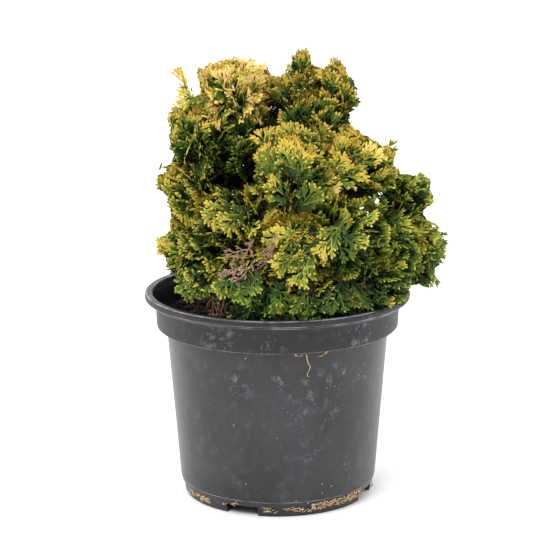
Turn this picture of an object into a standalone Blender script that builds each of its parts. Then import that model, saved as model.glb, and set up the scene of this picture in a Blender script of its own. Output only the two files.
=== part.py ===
"""Dwarf golden hinoki cypress in a round nursery pot.

A short trunk stands in a filled pot and carries one bough for each mass of foliage.
Every mass is a stem with a small core and three-sided twigs. Each twig ends in a flat
toothed spray that lies over the mass like a scale.
Metres, +Z up. The origin is the centre of the pot's underside and -Y is the front.
"""

import math
import random

import bmesh
import bpy
from mathutils import Matrix, Vector
from mathutils.bvhtree import BVHTree

MM = 0.001
GAP = 0.3 * MM  # between pieces that touch
SEED = 11

# Pot: a 26 cm nursery pot. Radii are outside, heights are above the floor.
RIM_RADIUS = 130 * MM
POT_HEIGHT = 202 * MM
LIP_DEPTH = 6.5 * MM
LIP_WIDTH = 8.0 * MM
BEAD_DEPTH = 3.0 * MM
COLLAR_RADIUS = 118.6 * MM
COLLAR_FOOT = 167.5 * MM
SHOULDER_RADIUS = 108.7 * MM
WALL_FOOT_RADIUS = 96.5 * MM
WALL_FOOT = 15 * MM
WALL = 1.8 * MM
FOOT_RADIUS = 93.5 * MM
FOOT_HEIGHT = 9.5 * MM
FOOT_WIDTH = 5.5 * MM
PAD_RADIUS = 52 * MM
CHANNEL_HEIGHT = 7.5 * MM
POT_STEPS = 36

# Gaps between the feet and the round holes beside them, where the pot drains
DRAIN_COUNT = 4
DRAIN_AZIMUTH = math.radians(-22)
DRAIN_ARC = math.radians(20)
DRAIN_HOLE_RADIUS = 6 * MM
DRAIN_HOLE_RING = 70 * MM

# Soil: the root ball fills the pot and rises a little to its middle
SOIL_TOP = 171 * MM
SOIL_FALL = 4 * MM
SOIL_CROWN_RADIUS = 30 * MM
SOIL_STEPS = 28

# Trunk: its path sways a little and ends under the tallest spire
TRUNK_FOOT_RADIUS = 8.5 * MM
TRUNK_TIP_RADIUS = 2.6 * MM
ROOT_FLARE = 5.0 * MM
ROOT_FLARE_HEIGHT = 12 * MM
TRUNK_SIDES = 12
TRUNK_TIP_AIM = 0.97  # of the way along the trunk, from where its tip takes its aim
TRUNK_RINGS = (0, 0.012, 0.03, 0.06) + tuple(0.1 + 0.9 * k / 12 for k in range(13))
TRUNK_PATH = (
    Vector((0, 0, SOIL_TOP + GAP)),
    Vector((-4, 3, 235)) * MM,
    Vector((4, 2, 300)) * MM,
    Vector((12, 13, 345)) * MM,
    Vector((19, 19, 380)) * MM,
)

# Boughs and stems
BOUGH_ROOT_RADIUS = 3.1 * MM
BOUGH_TIP_RADIUS = 1.9 * MM
BOUGH_SPANS = 5
BOUGH_SIDES = 6
BOUGH_LIFT = 0.35
BOUGH_ENTRY = 0.68  # of the way from a mass's middle to its surface
STEM_SPANS = 3
STEM_SIDES = 4
STEM_REACH = 0.4  # of the way from a mass's middle to its surface
STEM_TIP_RADIUS = 1.2 * MM
TWIG_RADIUS = 1.3 * MM
TWIG_TIP_RADIUS = 0.8 * MM
TWIG_MIDDLE = 0.55  # of the way along the stem, where the middle twigs leave it
TWIG_SPREAD = 0.4
LIMB_CLEARANCE = 0.6 * MM

# Core of a mass, as a share of the mass
CORE_SHARES = (0.6, 0.51, 0.42, 0.33)
CORE_SEGMENTS = 6
CORE_RINGS = 4
ROOTED = 0.17  # of a spray that must lie in the core where it has no twig

# Sprays: shares are of the spray's own length
SPRAY_HALF_WIDTH = 0.45
SPRAY_POLE = 0.3
SPRAY_THICKNESS = 0.05
SPRAY_TEETH = 4
SPRAY_NOTCH = 0.68
SPRAY_DROOP = 0.14
SPRAY_CUP = 0.3
SPRAY_SHRINK = (1.0, 0.9, 0.8, 0.7)
SPRAY_AREA = 1260 * MM * MM  # of a mass's surface to each spray
SPRAYS_LEAST = 7
SPREAD_JITTER = 0.25

# How a spray lies: its foot and its tip as shares of the way to the mass's surface,
# and how far each is swept along the growth
FOOT_OUT = 0.36
FOOT_SWEEP = -0.40
TIP_OUT = 1.15
TIP_SWEEP = 0.4
ROLL = 0.3
FACE_ON = 0.2  # sine between a spray and the way out, under which it turns level
FACING_IN = -0.5
SQUARENESS = 2.5  # 2 gives an ellipsoid

# Masses of foliage: name, middle and half-sizes in millimetres, height at which the
# bough leaves the trunk, rise of its growth in degrees above level, and how far its
# leading spray reaches as a share of the mass. The mass with no bough height sits on
# the trunk's tip.
MASSES = (
    ("middle_spire", (25, 22, 408), (23, 25, 30), None, 88, 1.0),
    ("left_crest", (-42, -8, 396), (42, 37, 37), 324, 84, 1.05),
    ("right_crest", (56, 6, 390), (28, 33, 37), 332, 84, 1.05),
    ("back_crest", (-8, 60, 374), (40, 34, 36), 312, 70, 1.15),
    ("left_shoulder", (-79, -20, 352), (36, 37, 37), 294, 70, 1.7),
    ("heart", (36, -18, 364), (37, 30, 35), 342, 60, 1.0),
    ("hollow_left", (-30, -4, 340), (36, 32, 38), 305, 50, 1.0),
    ("front_spire", (15, -60, 328), (42, 35, 46), 270, 66, 1.15),
    ("right_shoulder", (74, -32, 326), (45, 38, 40), 288, 36, 1.4),
    ("mid_left", (-82, -24, 301), (36, 36, 34), 252, 5, 1.2),
    ("back_right", (64, 56, 318), (42, 39, 44), 264, 45, 1.15),
    ("back_left", (-64, 52, 316), (40, 38, 44), 262, 40, 1.15),
    ("back_middle", (-2, 90, 318), (42, 36, 44), 246, 40, 1.15),
    ("right_arm", (122, 4, 290), (36, 37, 32), 240, 25, 1.1),
    ("brow_left", (-38, -68, 286), (43, 33, 32), 236, 20, 1.1),
    ("front_right", (66, -72, 270), (42, 35, 40), 226, 0, 1.15),
    ("front", (14, -94, 262), (41, 31, 36), 216, 0, 1.1),
    ("low_left", (-82, -24, 248), (35, 37, 33), 214, -5, 1.1),
    ("front_left", (-66, -70, 244), (31, 31, 39), 206, -45, 1.15),
    ("front_middle", (-27, -88, 246), (32, 29, 36), 199, -20, 1.1),
    ("right_middle", (102, -30, 252), (35, 33, 38), 214, -10, 1.1),
    ("low_right", (130, 2, 241), (35, 40, 46), 204, -25, 1.2),
    ("skirt_front", (-14, -90, 209), (39, 26, 24), 185, -20, 1.1),
    ("skirt_front_right", (44, -90, 213), (38, 27, 26), 190, -20, 1.1),
    ("skirt_right", (92, -66, 221), (38, 31, 27), 196, -15, 1.1),
    ("back_low_left", (-70, 60, 238), (41, 40, 40), 222, -20, 1.15),
    ("back_low", (0, 98, 234), (43, 37, 40), 208, -20, 1.15),
    ("back_low_right", (76, 72, 238), (43, 39, 42), 216, -20, 1.15),
)


def on_curve(points, share):
    """Point of a smooth curve through the given points, at a share of its length."""
    spans = len(points) - 1
    at = min(share * spans, spans - 1e-9)
    i = int(at)
    t = at - i
    a, b = points[i], points[i + 1]
    slope_a = (b - points[max(i - 1, 0)]) / 2
    slope_b = (points[min(i + 2, spans)] - a) / 2
    return (
        a * (2 * t**3 - 3 * t**2 + 1)
        + slope_a * (t**3 - 2 * t**2 + t)
        + b * (3 * t**2 - 2 * t**3)
        + slope_b * (t**3 - t**2)
    )


def arc(start, bend, end, spans):
    """Points along a curve that leaves start towards bend and arrives at end."""
    shares = [k / spans for k in range(spans + 1)]
    return [start * (1 - t) ** 2 + bend * (2 * t * (1 - t)) + end * t**2 for t in shares]


def tapered(first, last, spans):
    """Radii that fall evenly from the first to the last."""
    return [first + (last - first) * k / spans for k in range(spans + 1)]


def trunk_radius(height):
    """Radius of the trunk at a height, with the flare of its roots."""
    low, high = TRUNK_PATH[0].z, TRUNK_PATH[-1].z
    share = (height - low) / (high - low)
    flare = ROOT_FLARE * math.exp(-3 * (height - low) / ROOT_FLARE_HEIGHT)
    return TRUNK_FOOT_RADIUS + (TRUNK_TIP_RADIUS - TRUNK_FOOT_RADIUS) * share + flare


def trunk_point(height):
    """Middle of the trunk at a height."""
    low, high = 0.0, 1.0
    for _ in range(30):
        middle = (low + high) / 2
        if on_curve(TRUNK_PATH, middle).z < height:
            low = middle
        else:
            high = middle
    return on_curve(TRUNK_PATH, low)


def material(name, colour, roughness):
    """A plain finish that isn't metallic, in linear colour."""
    made = bpy.data.materials.new(name)
    made.use_nodes = True
    shader = made.node_tree.nodes["Principled BSDF"]
    shader.inputs["Base Color"].default_value = (*colour, 1)
    shader.inputs["Roughness"].default_value = roughness
    shader.inputs["Metallic"].default_value = 0.0
    return made


def new_object(name, shape, finish, collection):
    """An object of a mesh or of a bmesh, which is used up."""
    mesh = shape
    if isinstance(shape, bmesh.types.BMesh):
        mesh = bpy.data.meshes.new(name)
        shape.to_mesh(mesh)
        shape.free()
    made = bpy.data.objects.new(name, mesh)
    collection.objects.link(made)
    if finish:
        mesh.materials.append(finish)
    return made


def as_cutter(made):
    """Marks an object as a cutter or a guide."""
    made.hide_render = True
    made.display_type = "WIRE"
    return made


def limb(name, path, radii, sides, finish, collection):
    """A tapering limb: a curve with a round section and closed ends, made a mesh."""
    curve = bpy.data.curves.new(name, "CURVE")
    curve.dimensions = "3D"
    curve.bevel_depth = 1.0
    curve.bevel_resolution = (sides - 4) // 2
    curve.use_fill_caps = True
    spline = curve.splines.new("POLY")
    spline.points.add(len(path) - 1)
    for point, place, radius in zip(spline.points, path, radii):
        point.co = (*place, 1)
        point.radius = radius
    drawn = bpy.data.objects.new(name, curve)
    collection.objects.link(drawn)
    graph = bpy.context.evaluated_depsgraph_get()
    mesh = bpy.data.meshes.new_from_object(drawn.evaluated_get(graph))
    bpy.data.objects.remove(drawn)
    bpy.data.curves.remove(curve)
    welded = bmesh.new()
    welded.from_mesh(mesh)
    bmesh.ops.remove_doubles(welded, verts=welded.verts, dist=0.01 * MM)
    bmesh.ops.recalc_face_normals(welded, faces=welded.faces)
    bpy.data.meshes.remove(mesh)
    return new_object(name, welded, finish, collection)


def turned(name, profile, steps, finish, collection):
    """A solid of revolution, from a section that runs down its outer side."""
    mesh = bpy.data.meshes.new(name)
    points = [(radius, 0, height) for radius, height in profile]
    mesh.from_pydata(points, [(k, k + 1) for k in range(len(points) - 1)], [])
    made = new_object(name, mesh, finish, collection)
    screw = made.modifiers.new("turn", "SCREW")
    screw.steps = screw.render_steps = steps
    screw.use_merge_vertices = True
    screw.merge_threshold = 0.05 * MM
    screw.use_smooth_shade = True
    return made


def cut(target, name, cutter):
    """Cuts one object out of another."""
    made = target.modifiers.new(name, "BOOLEAN")
    made.operation = "DIFFERENCE"
    made.object = cutter


def pot_section():
    """The pot's section, from the middle of its floor out, over the lip and back under."""
    lip_foot = POT_HEIGHT - LIP_DEPTH
    bead_foot = lip_foot - BEAD_DEPTH
    floor = CHANNEL_HEIGHT + WALL
    inside = [
        (0, WALL),
        (PAD_RADIUS - 4 * MM, WALL),
        (PAD_RADIUS - 1 * MM, floor),
        (WALL_FOOT_RADIUS - 4 * MM, floor),
        (WALL_FOOT_RADIUS - WALL, WALL_FOOT + 2 * MM),
        (SHOULDER_RADIUS - WALL, COLLAR_FOOT + 2 * MM),
        (COLLAR_RADIUS - WALL, COLLAR_FOOT + 6 * MM),
        (RIM_RADIUS - LIP_WIDTH, POT_HEIGHT - 2 * MM),
        (RIM_RADIUS - LIP_WIDTH + 2 * MM, POT_HEIGHT),
    ]
    outside = [
        (RIM_RADIUS - 2 * MM, POT_HEIGHT),
        (RIM_RADIUS, POT_HEIGHT - 2 * MM),
        (RIM_RADIUS, lip_foot + 1 * MM),
        (RIM_RADIUS - 3 * MM, lip_foot),
        (RIM_RADIUS - 4 * MM, bead_foot),
        (COLLAR_RADIUS + 1.2 * MM, bead_foot - 1 * MM),
        (COLLAR_RADIUS, COLLAR_FOOT + 3.5 * MM),
        (COLLAR_RADIUS - 2.5 * MM, COLLAR_FOOT),
        (SHOULDER_RADIUS, COLLAR_FOOT - 1.5 * MM),
        (WALL_FOOT_RADIUS, WALL_FOOT),
        (FOOT_RADIUS + 1 * MM, FOOT_HEIGHT),
        (FOOT_RADIUS, FOOT_HEIGHT - 1 * MM),
        (FOOT_RADIUS - 1 * MM, 0),
        (FOOT_RADIUS - FOOT_WIDTH, 0),
        (FOOT_RADIUS - FOOT_WIDTH - 2 * MM, CHANNEL_HEIGHT),
        (PAD_RADIUS + 3 * MM, CHANNEL_HEIGHT),
        (PAD_RADIUS, 0),
        (0, 0),
    ]
    return inside + outside


def build_pot(finish, collection, cutters):
    """The pot, with gaps between its feet and a round drain hole beside each gap."""
    pot = turned("pot", pot_section(), POT_STEPS, finish, collection)
    for k in range(DRAIN_COUNT):
        azimuth = DRAIN_AZIMUTH + math.tau * k / DRAIN_COUNT
        out = Vector((math.sin(azimuth), -math.cos(azimuth), 0))
        turn = Matrix.Rotation(azimuth, 4, "Z")
        block = bmesh.new()
        width = 2 * FOOT_RADIUS * math.sin(DRAIN_ARC / 2)
        size = Matrix.Diagonal((width, 22 * MM, 2 * FOOT_HEIGHT - 0.4 * MM, 1))
        at = Matrix.Translation(out * (FOOT_RADIUS + 0.5 * MM))
        bmesh.ops.create_cube(block, size=1, matrix=at @ turn @ size)
        cut(pot, f"drain_gap_{k}", as_cutter(new_object(f"drain_gap_{k}", block, None, cutters)))
        hole = bmesh.new()
        bmesh.ops.create_cone(
            hole,
            cap_ends=True,
            segments=12,
            radius1=DRAIN_HOLE_RADIUS,
            radius2=DRAIN_HOLE_RADIUS,
            depth=4 * CHANNEL_HEIGHT,
            matrix=Matrix.Translation(out * DRAIN_HOLE_RING),
        )
        cut(pot, f"drain_hole_{k}", as_cutter(new_object(f"drain_hole_{k}", hole, None, cutters)))
    return pot


def build_soil(finish, collection):
    """The filled root ball, a gap inside the pot's wall."""
    floor = CHANNEL_HEIGHT + WALL + GAP
    skin = WALL + GAP
    share = (SOIL_TOP - SOIL_FALL - WALL_FOOT) / (COLLAR_FOOT - WALL_FOOT)
    edge = WALL_FOOT_RADIUS + (SHOULDER_RADIUS - WALL_FOOT_RADIUS) * share - skin
    profile = [
        (0, SOIL_TOP),
        (SOIL_CROWN_RADIUS, SOIL_TOP),
        (edge - 1 * MM, SOIL_TOP - SOIL_FALL),
        (WALL_FOOT_RADIUS - skin - 0.5 * MM, WALL_FOOT + 3 * MM),
        (WALL_FOOT_RADIUS - 5 * MM, floor),
        (0, floor),
    ]
    return turned("soil", profile, SOIL_STEPS, finish, collection)


def trunk_limb(name, swell, finish, collection):
    """The trunk's shape, swollen by a width all round."""
    low, high = TRUNK_PATH[0].z, TRUNK_PATH[-1].z
    heights = [low + (high - low) * share for share in TRUNK_RINGS]
    path = [trunk_point(height) for height in heights]
    path[0] = TRUNK_PATH[0]
    path[1] = TRUNK_PATH[0] + Vector((0, 0, heights[1] - low))
    radii = [trunk_radius(height) + swell for height in heights]
    return limb(name, path, radii, TRUNK_SIDES, finish, collection)


class Mass:
    """One mass of foliage with its bough, its stem and the space that it keeps to."""

    def __init__(self, number, name, middle, half, fork, rise, leader):
        self.number, self.name = number, name
        self.middle = Vector(middle) * MM
        self.half = Vector(half) * MM
        self.walls = []
        self.core = 0.0  # share of the mass that its core fills
        self.leader = leader
        self.random = random.Random(SEED * 1000 + number)
        level = Vector((middle[0], middle[1], 0)).normalized()
        rise = math.radians(rise)
        self.outward = level
        self.growth = level * math.cos(rise) + Vector((0, 0, math.sin(rise)))
        self.bough = self.bough_path(fork * MM) if fork else None
        self.stem = self.stem_path()

    def reach(self, direction):
        """Distance from the middle to the mass's surface along a direction."""
        whole = sum(abs(d / h) ** SQUARENESS for d, h in zip(direction, self.half))
        return whole ** (-1 / SQUARENESS)

    def holds(self, point):
        """True if the point is on this mass's side of every wall of its space."""
        return all((point - at).dot(out) < -GAP for at, out in self.walls)

    def in_core(self, point):
        """True if a point lies within the mass's core."""
        away = [(p - m) / h for p, m, h in zip(point, self.middle, self.half)]
        return Vector(away).length < self.core

    def bough_path(self, fork):
        """Middle line of the bough, from inside the trunk to where it enters the mass."""
        root = trunk_point(fork)
        out = self.middle - root
        level = Vector((out.x, out.y, 0)).normalized()
        lift = (level + Vector((0, 0, BOUGH_LIFT * out.z / out.length))).normalized()
        bend = root + lift * out.length * 0.5
        inward = (bend - self.middle).normalized()
        end = self.middle + inward * (self.reach(inward) * BOUGH_ENTRY)
        return arc(root, bend, end, BOUGH_SPANS)

    def stem_path(self):
        """Middle line of the stem, which goes on from the bough or the trunk."""
        path = self.bough or TRUNK_PATH
        before = path[-2] if self.bough else on_curve(TRUNK_PATH, TRUNK_TIP_AIM)
        along = (path[-1] - before).normalized()
        start = path[-1] + along * GAP
        turn = start + along * STEM_TIP_RADIUS
        end = self.middle + self.growth * self.reach(self.growth) * STEM_REACH
        bend = turn + along * (end - turn).length * 0.5
        return [start] + arc(turn, bend, end, STEM_SPANS)


def wall_off(masses):
    """Gives each mass the planes that part it from its neighbours."""
    for a in masses:
        for b in masses:
            if a is b:
                continue
            across = b.middle - a.middle
            out = across.normalized()
            share = a.reach(out) / (a.reach(out) + b.reach(-out))
            a.walls.append((a.middle + across * share, out))


def in_pot(point):
    """True if a point is too near the soil or the pot."""
    if point.z < SOIL_TOP + 2 * MM:
        return True
    return point.z < POT_HEIGHT + 2 * MM and math.hypot(point.x, point.y) > COLLAR_RADIUS - 4 * MM


def spray_outline(length):
    """Points round a spray in its own plane, seen from its thickest point."""
    count = 2 * SPRAY_TEETH + 1
    foot = SPRAY_POLE * length
    points = []
    for k in range(count):
        angle = -math.pi + math.tau * k / count
        ahead = length - foot if math.cos(angle) > 0 else foot
        across = SPRAY_HALF_WIDTH * length
        radius = 1 / math.hypot(math.cos(angle) / ahead, math.sin(angle) / across)
        if k and k % 2 == 0:
            radius *= SPRAY_NOTCH
        x, y = radius * math.cos(angle), radius * math.sin(angle)
        sag = SPRAY_DROOP * (x + foot) ** 2 / length + SPRAY_CUP * y * y / length
        points.append(Vector((x, y, -sag)))
    return points


def spray_blade(frame, length):
    """A toothed spray: a flattened sphere whose rim is drawn out to the outline."""
    blade = bmesh.new()
    ring = spray_outline(length)
    bmesh.ops.create_uvsphere(blade, u_segments=len(ring), v_segments=2, radius=length)
    rim = [v for v in blade.verts if abs(v.co.z) < length / 2]
    rim.sort(key=lambda v: math.atan2(v.co.y, v.co.x))
    ring.sort(key=lambda p: math.atan2(p.y, p.x))
    for vertex in blade.verts:
        vertex.co = Vector((0, 0, math.copysign(SPRAY_THICKNESS * length / 2, vertex.co.z)))
    for vertex, point in zip(rim, ring):
        vertex.co = point
    bmesh.ops.transform(blade, matrix=frame, verts=blade.verts)
    bmesh.ops.recalc_face_normals(blade, faces=blade.faces)
    return blade


def between(start, end):
    """Matrix that stands something made along Z between two points."""
    across = end - start
    turn = across.to_track_quat("Z", "Y").to_matrix().to_4x4()
    return Matrix.Translation((start + end) / 2) @ turn


def twig(start, end):
    """A three-sided twig."""
    made = bmesh.new()
    bmesh.ops.create_cone(
        made,
        cap_ends=True,
        segments=3,
        radius1=TWIG_RADIUS,
        radius2=TWIG_TIP_RADIUS,
        depth=(end - start).length,
        matrix=between(start, end),
    )
    return made


def spray_frame(mass, aim, out, roll):
    """Matrix and length of a spray that lies over the mass's surface like a scale."""
    sweep = mass.growth - aim * mass.growth.dot(aim)
    towards = (aim + sweep * TIP_SWEEP).normalized()
    tip = mass.middle + towards * mass.reach(towards) * out
    foot = mass.middle + (aim * FOOT_OUT + sweep * FOOT_SWEEP) * mass.reach(aim)
    length = (tip - foot).length
    along = (tip - foot) / length
    level = along.cross(Vector((0, 0, 1)))
    flat = aim.cross(along)
    side = flat if flat.length > FACE_ON else level
    side = Matrix.Rotation(roll, 3, along) @ side.normalized()
    turn = Matrix((along, side, along.cross(side))).transposed().to_4x4()
    return Matrix.Translation(foot + along * SPRAY_POLE * length) @ turn, length


def clear_of(shape, others):
    """True if a shape's surface meets none of the others."""
    tree = BVHTree.FromBMesh(shape)
    return not any(tree.overlap(other) for other in others)


def crosses(mass, blade, others):
    """True if a spray cuts through others outside the mass's core."""
    tree = BVHTree.FromBMesh(blade)
    blade.faces.ensure_lookup_table()
    for other in others:
        for face, _ in tree.overlap(other):
            if not mass.in_core(blade.faces[face].calc_center_median()):
                return True
    return False


def stays_in(mass, shape):
    """True if a shape stays in the mass's space and out of the pot and the soil."""
    edges = [(e.verts[0].co + e.verts[1].co) / 2 for e in shape.edges]
    return all(mass.holds(v.co) for v in shape.verts) and not any(in_pot(p) for p in edges)


def core_of(mass, limbs):
    """The mass's core, made smaller until it is clear of every limb, or None."""
    for share in CORE_SHARES:
        core = bmesh.new()
        bmesh.ops.create_uvsphere(
            core,
            u_segments=CORE_SEGMENTS,
            v_segments=CORE_RINGS,
            radius=share,
            matrix=Matrix.Translation(mass.middle) @ Matrix.Diagonal((*mass.half, 1)),
        )
        if stays_in(mass, core) and clear_of(core, limbs):
            mass.core = share
            return core
        core.free()
    return None


def aims(mass):
    """Directions for a mass's sprays: its growth first, then evenly round its middle."""
    surface = 4 * math.pi * (sum(mass.half) / 3) ** 2
    count = max(SPRAYS_LEAST, round(surface / SPRAY_AREA))
    yield mass.growth
    for k in range(count):
        height = 1 - 2 * (k + 0.5) / count
        turn = math.pi * (3 - math.sqrt(5)) * k + mass.random.uniform(-SPREAD_JITTER, SPREAD_JITTER)
        level = math.sqrt(1 - height * height)
        aim = Vector((level * math.cos(turn), level * math.sin(turn), height))
        if min(aim.dot(mass.outward), aim.dot(mass.growth)) > FACING_IN:
            yield aim


def grow(mass, limbs):
    """The mass's twigs and sprays, each kept only where it has room."""
    kept, blades = [], []
    for k, aim in enumerate(aims(mass)):
        roll = mass.random.uniform(-ROLL, ROLL)
        for shrink in SPRAY_SHRINK:
            out = (TIP_OUT if k else mass.leader) * shrink
            frame, length = spray_frame(mass, aim, out, roll)
            blade = spray_blade(frame, length)
            fits = stays_in(mass, blade) and clear_of(blade, limbs) and not crosses(mass, blade, blades)
            rooted = mass.in_core(frame @ Vector(((ROOTED - SPRAY_POLE) * length, 0, 0)))
            root = on_curve(mass.stem, TWIG_MIDDLE + TWIG_SPREAD * aim.dot(mass.growth))
            stalk = twig(root, frame.translation)
            if fits and (rooted or clear_of(stalk, limbs + blades)):
                blades.append(BVHTree.FromBMesh(blade))
                kept.append(blade)
                if not rooted:
                    kept.append(stalk)
                break
            blade.free()
            stalk.free()
    return kept


def keep_largest(mesh):
    """Drops loose scraps and sealed hollows from a mesh."""
    whole = bmesh.new()
    whole.from_mesh(mesh)
    bmesh.ops.triangulate(whole, faces=whole.faces)
    left, bodies = set(whole.verts), []
    while left:
        body, front = set(), [left.pop()]
        while front:
            vertex = front.pop()
            body.add(vertex)
            near = [edge.other_vert(vertex) for edge in vertex.link_edges]
            fresh = [other for other in near if other in left]
            left.difference_update(fresh)
            front.extend(fresh)
        bodies.append(body)
    bodies.sort(key=len)
    scraps = [vertex for body in bodies[:-1] for vertex in body]
    bmesh.ops.delete(whole, geom=scraps, context="VERTS")
    whole.to_mesh(mesh)
    whole.free()


def build_mass(mass, limbs, finish, collection):
    """The stem, core, twigs and sprays of a mass, joined by one union."""
    parts = new_collection(f"{mass.name}_parts")
    start = BOUGH_TIP_RADIUS if mass.bough else TRUNK_TIP_RADIUS
    radii = tapered(start, STEM_TIP_RADIUS, STEM_SPANS + 1)
    made = limb(mass.name, mass.stem, radii, STEM_SIDES, finish, collection)
    core = core_of(mass, limbs)
    grown = grow(mass, limbs)
    for k, shape in enumerate(grown + ([core] if core else [])):
        new_object(f"{mass.name}_part_{k}", shape, None, parts)
    union = made.modifiers.new("union", "BOOLEAN")
    union.operation = "UNION"
    union.operand_type = "COLLECTION"
    union.collection = parts
    union.solver = "MANIFOLD"
    graph = bpy.context.evaluated_depsgraph_get()
    joined = bpy.data.meshes.new_from_object(made.evaluated_get(graph))
    made.modifiers.clear()
    made.data = joined
    joined.materials.clear()
    joined.materials.append(finish)
    for part in list(parts.objects):
        bpy.data.objects.remove(part)
    bpy.data.collections.remove(parts)
    keep_largest(joined)


def bough_limb(name, mass, swell, finish, collection):
    """A mass's bough, swollen by a width all round."""
    radii = [r + swell for r in tapered(BOUGH_ROOT_RADIUS, BOUGH_TIP_RADIUS, BOUGH_SPANS)]
    return limb(name, mass.bough, radii, BOUGH_SIDES, finish, collection)


def limb_rooms(masses, cutters):
    """The room that foliage leaves round the trunk and every bough."""
    guides = [trunk_limb("guide", LIMB_CLEARANCE, None, cutters)]
    guides += [bough_limb("guide", mass, LIMB_CLEARANCE, None, cutters) for mass in masses if mass.bough]
    rooms = []
    for guide in guides:
        shape = bmesh.new()
        shape.from_mesh(guide.data)
        rooms.append(BVHTree.FromBMesh(shape))
        shape.free()
        bpy.data.objects.remove(guide)
    return rooms


def new_collection(name):
    """A collection in the scene."""
    made = bpy.data.collections.new(name)
    bpy.context.scene.collection.children.link(made)
    return made


def main():
    """Builds the pot, the soil, the limbs and the foliage."""
    for old in list(bpy.data.objects):
        bpy.data.objects.remove(old)
    plant = new_collection("dwarf_hinoki_cypress")
    cutters = new_collection("cutters")
    bark = material("bark", (0.13, 0.055, 0.03), 0.85)
    leaf = material("foliage", (0.16, 0.19, 0.03), 0.6)
    build_pot(material("black_plastic", (0.035, 0.036, 0.038), 0.45), plant, cutters)
    build_soil(material("potting_soil", (0.035, 0.022, 0.014), 0.95), plant)
    trunk_limb("trunk", 0, bark, plant)
    trunk_room = as_cutter(trunk_limb("trunk_room", 1.5 * GAP, None, cutters))
    masses = [Mass(number, *row) for number, row in enumerate(MASSES)]
    wall_off(masses)
    rooms = limb_rooms(masses, cutters)
    for mass in masses:
        if mass.bough:
            bough = bough_limb(f"bough_{mass.name}", mass, 0, bark, plant)
            cut(bough, "trunk_gap", trunk_room)
        build_mass(mass, rooms, leaf, plant)


if __name__ == "__main__":
    main()
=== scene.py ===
"""Looks of the dwarf golden hinoki cypress and of its round nursery pot.

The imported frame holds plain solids. This file grows the fine plant over them: the pot
with its rolled lip, the soil with its bark chips, the trunk and the boughs with their
bark, and the foliage as flat fans of blunt fingers that scale leaves cover.
Metres, +Z up. The origin is the centre of the pot's underside and -Y is the front.
"""

import logging
import math
import random
from collections.abc import Iterable, Iterator, Sequence
from dataclasses import dataclass, field
from enum import Enum
from functools import reduce

import bmesh
import bpy
import numpy as np
from mathutils import Matrix, Vector, noise


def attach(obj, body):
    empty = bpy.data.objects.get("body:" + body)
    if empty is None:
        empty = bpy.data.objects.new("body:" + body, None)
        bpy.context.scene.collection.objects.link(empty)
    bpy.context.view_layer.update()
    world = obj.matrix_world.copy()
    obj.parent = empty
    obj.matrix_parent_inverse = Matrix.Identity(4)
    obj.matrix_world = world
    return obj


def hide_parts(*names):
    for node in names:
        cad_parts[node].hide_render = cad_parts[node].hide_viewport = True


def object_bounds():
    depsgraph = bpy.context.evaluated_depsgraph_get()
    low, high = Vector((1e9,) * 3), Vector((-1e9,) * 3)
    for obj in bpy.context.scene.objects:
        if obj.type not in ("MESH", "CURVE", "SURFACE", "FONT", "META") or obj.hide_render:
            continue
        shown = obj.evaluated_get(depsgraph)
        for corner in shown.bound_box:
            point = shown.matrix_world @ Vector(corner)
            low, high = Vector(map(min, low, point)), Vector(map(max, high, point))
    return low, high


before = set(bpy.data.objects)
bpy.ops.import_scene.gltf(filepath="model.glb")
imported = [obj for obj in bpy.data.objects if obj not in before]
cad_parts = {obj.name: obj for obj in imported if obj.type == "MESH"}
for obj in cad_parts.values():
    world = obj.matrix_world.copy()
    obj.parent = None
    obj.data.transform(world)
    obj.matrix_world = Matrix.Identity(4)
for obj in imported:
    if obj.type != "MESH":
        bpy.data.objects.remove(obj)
CAD_LOW, CAD_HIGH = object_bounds()

log = logging.getLogger("cypress")

MM = 0.001
SEED = 11
BODY = "root"
Colour = tuple[float, float, float]
Block = tuple[np.ndarray, np.ndarray]  # points and triangles
Socket = bpy.types.NodeSocket
Value = Socket | Colour | float
COLOUR_SOCKET, VALUE_SOCKET = "NodeSocketColor", "NodeSocketFloat"
MIX_FIRST, MIX_SECOND, MIX_RESULT = 6, 7, 2  # the mixing node's colour sockets
UP = Vector((0, 0, 1))


class Slot(Enum):
    """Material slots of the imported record."""

    POT = "pot_plastic"
    SOIL = "potting_soil"
    BARK = "bark"
    FOLIAGE = "foliage"


class Tint(Enum):
    """Colours that the scale leaves take, from the shaded inside out to the tips. The shade tint is painted
    shade; the deep greens are partly the inner leaves' own colour, partly painted shade.
    """

    SHADE = "shade"
    DEEP = "deep_green"
    GREEN = "green"
    OLIVE = "olive"
    LIME = "lime"
    GOLD = "gold"
    AMBER = "amber"
    CREAM = "cream"
    BLUSH = "blush"
    DEAD = "withered"
    ASHEN = "ashen"


SHADE, DEEP, GREEN, OLIVE, LIME, GOLD, AMBER, CREAM, BLUSH, DEAD, ASHEN = Tint


class Region(Enum):
    """Parts of the crown that are joined into pieces of their own."""

    CREST = "crest"
    SHOULDERS = "shoulders"
    FRONT = "front"
    SKIRT = "skirt"
    BACK = "back"


CREST, SHOULDERS, FRONT, SKIRT, BACK = Region


def add_object(name: str, data: bpy.types.ID) -> bpy.types.Object:
    """Places an object in the scene.

    Args:
        name: The object's name.
        data: Its mesh or other data.

    Returns:
        The object.
    """
    made = bpy.data.objects.new(name, data)
    bpy.context.scene.collection.objects.link(made)
    return made


def add_shape(name: str, shape: bmesh.types.BMesh) -> bpy.types.Object:
    """Places an object of a shape that was under way, and frees the shape.

    Args:
        name: The object's name.
        shape: The shape.

    Returns:
        The object.
    """
    mesh = bpy.data.meshes.new(name)
    shape.to_mesh(mesh)
    shape.free()
    return add_object(name, mesh)


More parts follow.
